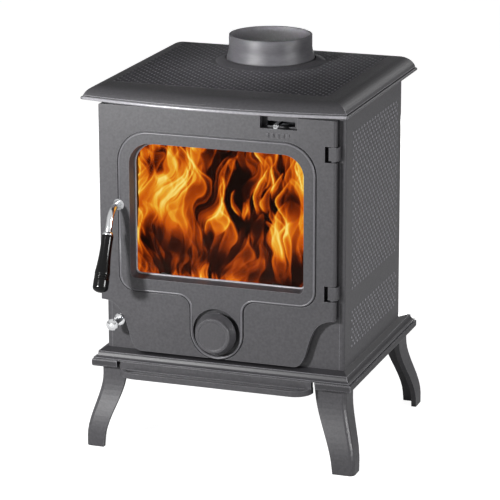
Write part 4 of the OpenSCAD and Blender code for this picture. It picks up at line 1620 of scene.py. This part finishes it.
@dataclass
class HobBead:
    """A light, glossy tube over the round bead along the hob's bowed front lip, as a painted highlight
    line, in millimetres.
    """

    bow: float = 21.0
    radius: float = 2.5
    proud: float = 0.1
    short: float = 3.0

    def build(self) -> None:
        """Carries the bead along the bow: y = front + R - sqrt((R - radius)^2 - x^2), for the
        circle of radius R through the hob's front corners and the middle of its bow."""
        low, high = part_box("top_plate")
        half, bow, size = high.x, self.bow * MM, self.radius * MM
        sweep = (half * half + bow * bow) / (2 * bow)
        x = np.linspace(self.short * MM - half, half - self.short * MM, 90)
        y = low.y + sweep - np.sqrt((sweep - size) ** 2 - x * x)
        path = np.stack([x, y, np.full_like(x, low.z + size)], -1)
        path = np.concatenate([path[:1] - (1e-7, 0, 0), path, path[-1:] + (1e-7, 0, 0)])
        radius = np.full(len(path), (self.radius + self.proud) * MM)
        radius[[0, -1]] = 0
        bead = tube("hob_bead", path, radius, UP, 20)
        # Painted highlight: the tube is painted light and glossy.
        place(bead, Body.STOVE, Paint.HOB_LIP.material(), Slot.CAST)


@dataclass
class AirWheel:
    """The spin wheel on the door's foot: a plain face inside one raised ring, in millimetres."""

    ring_r: float = 24.0
    half: float = 0.8
    rise: float = 0.7

    def build(self, nodes: Nodes, paint: Material) -> None:
        """Dresses the wheel and raises the ring on its face.

        Args:
            nodes: the CAD nodes by name.
            paint: the finish.
        """
        dress(nodes, ("air_wheel",), paint)
        hub = centre_of("air_wheel")
        hub.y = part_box("air_wheel")[0].y + 1.0 * MM
        a = np.linspace(0, 2 * math.pi, 12, endpoint=False)
        bead = np.stack([self.ring_r + self.half * np.cos(a), self.rise * np.sin(a)], -1) * MM
        ring = lathe("wheel_face_ring_1", bead, hub, Vector((0, -1, 0)), turns=72, ring=True)
        place(ring, Body.AIR_WHEEL, paint, Slot.CAST)


@dataclass(frozen=True)
class Tongue:
    """One lick of flame: wide near its foot, swaying as it rises, and pointed at its tip.

    Lengths are in metres. The left and right rims shine by their own shares. A rim fades over
    RIM_IN inwards and RIM_OUT outwards, and the veil between the rims over VEIL_OUT outwards.
    """

    RIM_IN = 0.0032
    RIM_OUT = 0.0007
    VEIL_OUT = 0.0010

    foot: float
    middle: float
    size: float
    breadth: float
    lean: float
    sway: float
    wave: float
    phase: float
    left: float
    right: float
    gain: float

    @classmethod
    def draw(cls, rng: np.random.Generator, large: bool, width: float, height: float) -> "Tongue":
        """Draws a tongue's sizes.

        Args:
            rng: the seeded source of numbers.
            large: one of the few tall tongues.
            width: width of the fire.
            height: height of the fire.

        Returns:
            The tongue.
        """
        size = rng.uniform(0.10, 0.16) if large else rng.uniform(0.035, 0.10)
        foot = rng.uniform(-0.12, height)
        middle = rng.uniform(-0.06, width + 0.06)
        breadth = size * rng.uniform(0.09, 0.23)
        lean = rng.uniform(-0.25, 0.25)
        sway = rng.uniform(0.002, 0.012)
        wave = rng.uniform(0.05, 0.11)
        phase = rng.uniform(0, 2 * math.pi)
        left, right = rng.uniform(0.1, 1.0), rng.uniform(0.1, 1.0)
        gain = rng.uniform(0.35, 0.95)
        return cls(foot, middle, size, breadth, lean, sway, wave, phase, left, right, gain)

    def light(self, x: np.ndarray, z: np.ndarray) -> np.ndarray:
        """Light of the tongue at each point.

        With s the share of its height, the half width is 1.9 breadth sqrt(s) (1 - s)^0.9 about a
        middle line that leans and sways as a sine. Its rims and its veil fade as exponentials.

        Args:
            x: metres across.
            z: metres up.

        Returns:
            Light from 0 to 1.
        """
        rise = z - self.foot
        inside = (rise > 0) & (rise < self.size)
        s = np.clip(rise / self.size, 1e-4, 1 - 1e-4)
        swing = self.sway * np.sin(2 * math.pi * rise / self.wave + self.phase) * s
        line = self.middle + self.lean * rise + swing
        deep = 1.9 * self.breadth * np.sqrt(s) * (1 - s) ** 0.9 - np.abs(x - line)
        away = np.abs(deep)
        rim = np.where(deep > 0, np.exp(-away / self.RIM_IN), np.exp(-away / self.RIM_OUT))
        rim *= np.where(x < line, self.left, self.right)
        veil = np.where(deep > 0, 1.0, np.exp(-away / self.VEIL_OUT)) * (0.24 + 0.24 * (1 - s))
        fade = ease(s / 0.3) * ease((1 - s) / 0.12)
        return np.where(inside, fade * self.gain * (0.55 * veil + 0.80 * rim), 0)


@dataclass
class Fire:
    """A sheet of flame close behind the glass, which licks forward over the log guard.

    Each dark place is its middle and half sizes, as shares of the glass across and up. Top and
    bottom are millimetres over the base plate, and the other lengths are millimetres too: the
    sheet hangs behind the glass by behind, bellies back by bellied, and comes forward where it
    is hot by forward on the belly and by ripple all over.
    """

    dark: tuple[tuple[float, float, float, float], ...] = (
        (0.12, 0.06, 0.12, 0.12),
        (0.17, 0.32, 0.07, 0.13),
        (0.37, 0.50, 0.055, 0.20),
        (0.36, 0.90, 0.035, 0.12),
        (0.07, 0.78, 0.04, 0.08),
        (0.64, 0.40, 0.08, 0.06),
        (0.48, 0.18, 0.18, 0.11),
        (0.73, 0.04, 0.13, 0.09),
        (0.93, 0.12, 0.08, 0.14),
        (0.85, 0.60, 0.04, 0.09),
        (0.60, 0.62, 0.03, 0.08),
        (0.31, 0.05, 0.08, 0.07),
        (0.27, 0.24, 0.05, 0.10),
        (0.55, 0.03, 0.09, 0.06),
    )
    tongues: int = 290
    seed: int = 17
    top: float = 348.0
    bottom: float = 100.5
    step: float = 1.2
    seal_clear: float = 8.0
    behind: float = 7.5
    bellied: float = 14.0
    forward: float = 4.0
    ripple: float = 1.5
    thick: float = 1.5

    def shade(self, across: np.ndarray, up: np.ndarray, depth: float, spread: float) -> np.ndarray:
        """Light that the dark places leave: product of 1 - depth exp(-(distance / half size)^2).

        Args:
            across: share of the glass's width.
            up: share of the glass's height.
            depth: how dark the middle of a dark place is.
            spread: what the half sizes are multiplied by.

        Returns:
            Light from 0 to 1.
        """
        left = np.ones_like(across)
        for a, b, wide, tall in self.dark:
            far = ((across - a) / (spread * wide)) ** 2 + ((up - b) / (spread * tall)) ** 2
            left = left * (1 - depth * np.exp(-far))
        return left

    def heat(self, u: np.ndarray, v: np.ndarray, width: float, height: float) -> np.ndarray:
        """Heat from 0 to 1: tongues in a field that slow noise bends, laid over each other as
        light through veils, 1 - product of (1 - tongue).

        Args:
            u: metres across from the glass's left edge.
            v: metres up from its lower edge.
            width: the glass's width in metres.
            height: the glass's height in metres.

        Returns:
            The heat at each point.
        """
        rng = np.random.default_rng(self.seed)
        x = u + (two_octaves(u / 0.075 + 3, v / 0.085 + 1, self.seed + 40) - 0.5) * 0.056
        x += (two_octaves(u / 0.024 + 9, v / 0.032 + 4, self.seed + 44) - 0.5) * 0.011
        z = v + (two_octaves(u / 0.065 + 7, v / 0.080 + 5, self.seed + 50) - 0.5) * 0.045
        dim = np.ones_like(u)
        for number in range(self.tongues):
            lick = Tongue.draw(rng, number % 5 == 0, width, height)
            across = np.array((lick.middle + 0.4 * lick.lean * lick.size) / width)
            up = np.array((lick.foot + 0.42 * lick.size) / height)
            lit = float(self.shade(across, up, 0.93, 0.85))
            dim *= 1 - np.clip(lit * lick.light(x, z), 0, 0.96)
        soft = 0.2 + 0.8 * self.shade(x / width, z / height, 0.88, 1.0)
        return np.clip((1 - dim) * soft * 1.16, 0, 1)

    def curtain(self, datum: Datum) -> Piece:
        """The sheet's front: y bellies back with height and comes forward where it is hot.

        Args:
            datum: the stove's levels.

        Returns:
            A closed sheet with the heat kept as the point attribute burn.
        """
        seal_low, seal_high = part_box("door_seal")
        glass_low, glass_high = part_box("door_glass")
        x0, x1 = seal_low.x + self.seal_clear * MM, seal_high.x - self.seal_clear * MM
        z0, z1 = datum.base + self.bottom * MM, datum.base + self.top * MM
        columns = int((x1 - x0) / (self.step * MM))
        rows = int((z1 - z0) / (self.step * MM))
        x, z = np.meshgrid(np.linspace(x0, x1, columns), np.linspace(z0, z1, rows))
        span = glass_high - glass_low
        heat = self.heat(x - glass_low.x, z - glass_low.z, span.x, span.z)
        belly = ease(((z - z0) / (z1 - z0) - 0.2) / 0.35)
        back_off = self.behind + self.bellied * belly - self.forward * heat * belly - self.ripple * heat
        y = glass_high.y + back_off * MM
        front = np.stack([x, y, z], -1)
        back = front + np.array([0, self.thick * MM, 0])
        grid = np.concatenate([front, back[::-1]])
        piece = surface("flame_curtain", grid, closed_rows=True)
        points = np.empty(len(piece.data.vertices) * 3, np.float32)
        piece.data.vertices.foreach_get("co", points)
        points = points.reshape(-1, 3)
        across = np.rint((points[:, 0] - x0) / (x1 - x0) * (columns - 1)).astype(int)
        upwards = np.rint((points[:, 2] - z0) / (z1 - z0) * (rows - 1)).astype(int)
        column, row = np.clip(across, 0, columns - 1), np.clip(upwards, 0, rows - 1)
        layer = piece.data.attributes.new("burn", "FLOAT", "POINT")
        layer.data.foreach_set("value", heat[row, column].astype(np.float32))
        return piece

    def build(self, datum: Datum, flame: Material) -> None:
        """Hangs the curtain of flame.

        Args:
            datum: the stove's levels.
            flame: the finish.
        """
        place(self.curtain(datum), Body.STOVE, flame)


@dataclass
class SmallParts:
    """Fittings whose CAD shape is right and that need only their finish."""

    STEEL = (
        "leg_bolts",
        "ash_lip_screws",
        "blanking_plate_bolts",
        "door_catch",
        "flue_collar_bolts",
        "tie_rods",
        "glass_clips",
        "glass_clip_screws",
        "air_wheel_axle",
        "latch_cam",
        "latch_nut",
        "riddling_rod",
        "ash_pan",
    )
    SOOTED = ("airwash_guide", "airwash_slide", "airwash_rod")
    CHROME = ("riddling_escutcheon", "handle_bush", "airwash_knob", "riddling_knob")
    BARE = ("grate_frame", "log_guard", "riddling_grate")
    BRICK = ("left_firebrick", "right_firebrick", "back_firebrick", "baffle_plate")
    ROPE = ("glass_seal", "door_seal")

    def build(self, nodes: Nodes, chrome: Material) -> None:
        """Dresses the fittings.

        Args:
            nodes: the CAD nodes by name.
            chrome: the finish of the bright fittings.
        """
        steel = DrawnMetal("dull_zinc_plate", "8B8D90", 0.34, 0.14, 6.0).material()
        dress(nodes, self.STEEL, steel)
        dress(nodes, self.SOOTED, DrawnMetal("sooted_steel", "343436", 0.45, 0.12, 6.0).material())
        dress(nodes, self.CHROME, chrome)
        dress(nodes, self.BARE, BareIron().material())
        dress(nodes, self.BRICK, Vermiculite().material())
        dress(nodes, self.ROPE, KnittedRope().material())
        dress(nodes, ("door_glass",), CeramicGlass().material())


def main() -> None:
    """Loads the frame, sets the view and builds each sub-assembly in order."""
    logging.basicConfig(level=logging.INFO, format="%(name)s: %(message)s")
    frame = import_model()
    nodes = frame["nodes"]
    datum = Datum.read()
    Viewpoint().build(datum)
    Studio().build()
    paint = Paint.SHELL.material()
    chrome = DrawnMetal("bright_chrome_plate", "F1F2F4", 0.09, 0.06, 9.0).material()
    Shell().build(nodes, datum, paint)
    dress(nodes, ("door_casting", "hinge_pins"), paint)
    FlueCollar().build()
    Handle().build(chrome, BlackLacquer().material())
    AirWheel().build(nodes, paint)
    DoorBead().build(datum)
    HobBead().build()
    SmallParts().build(nodes, chrome)
    Fire().build(datum, Flame().material())


if __name__ == "__main__":
    main()
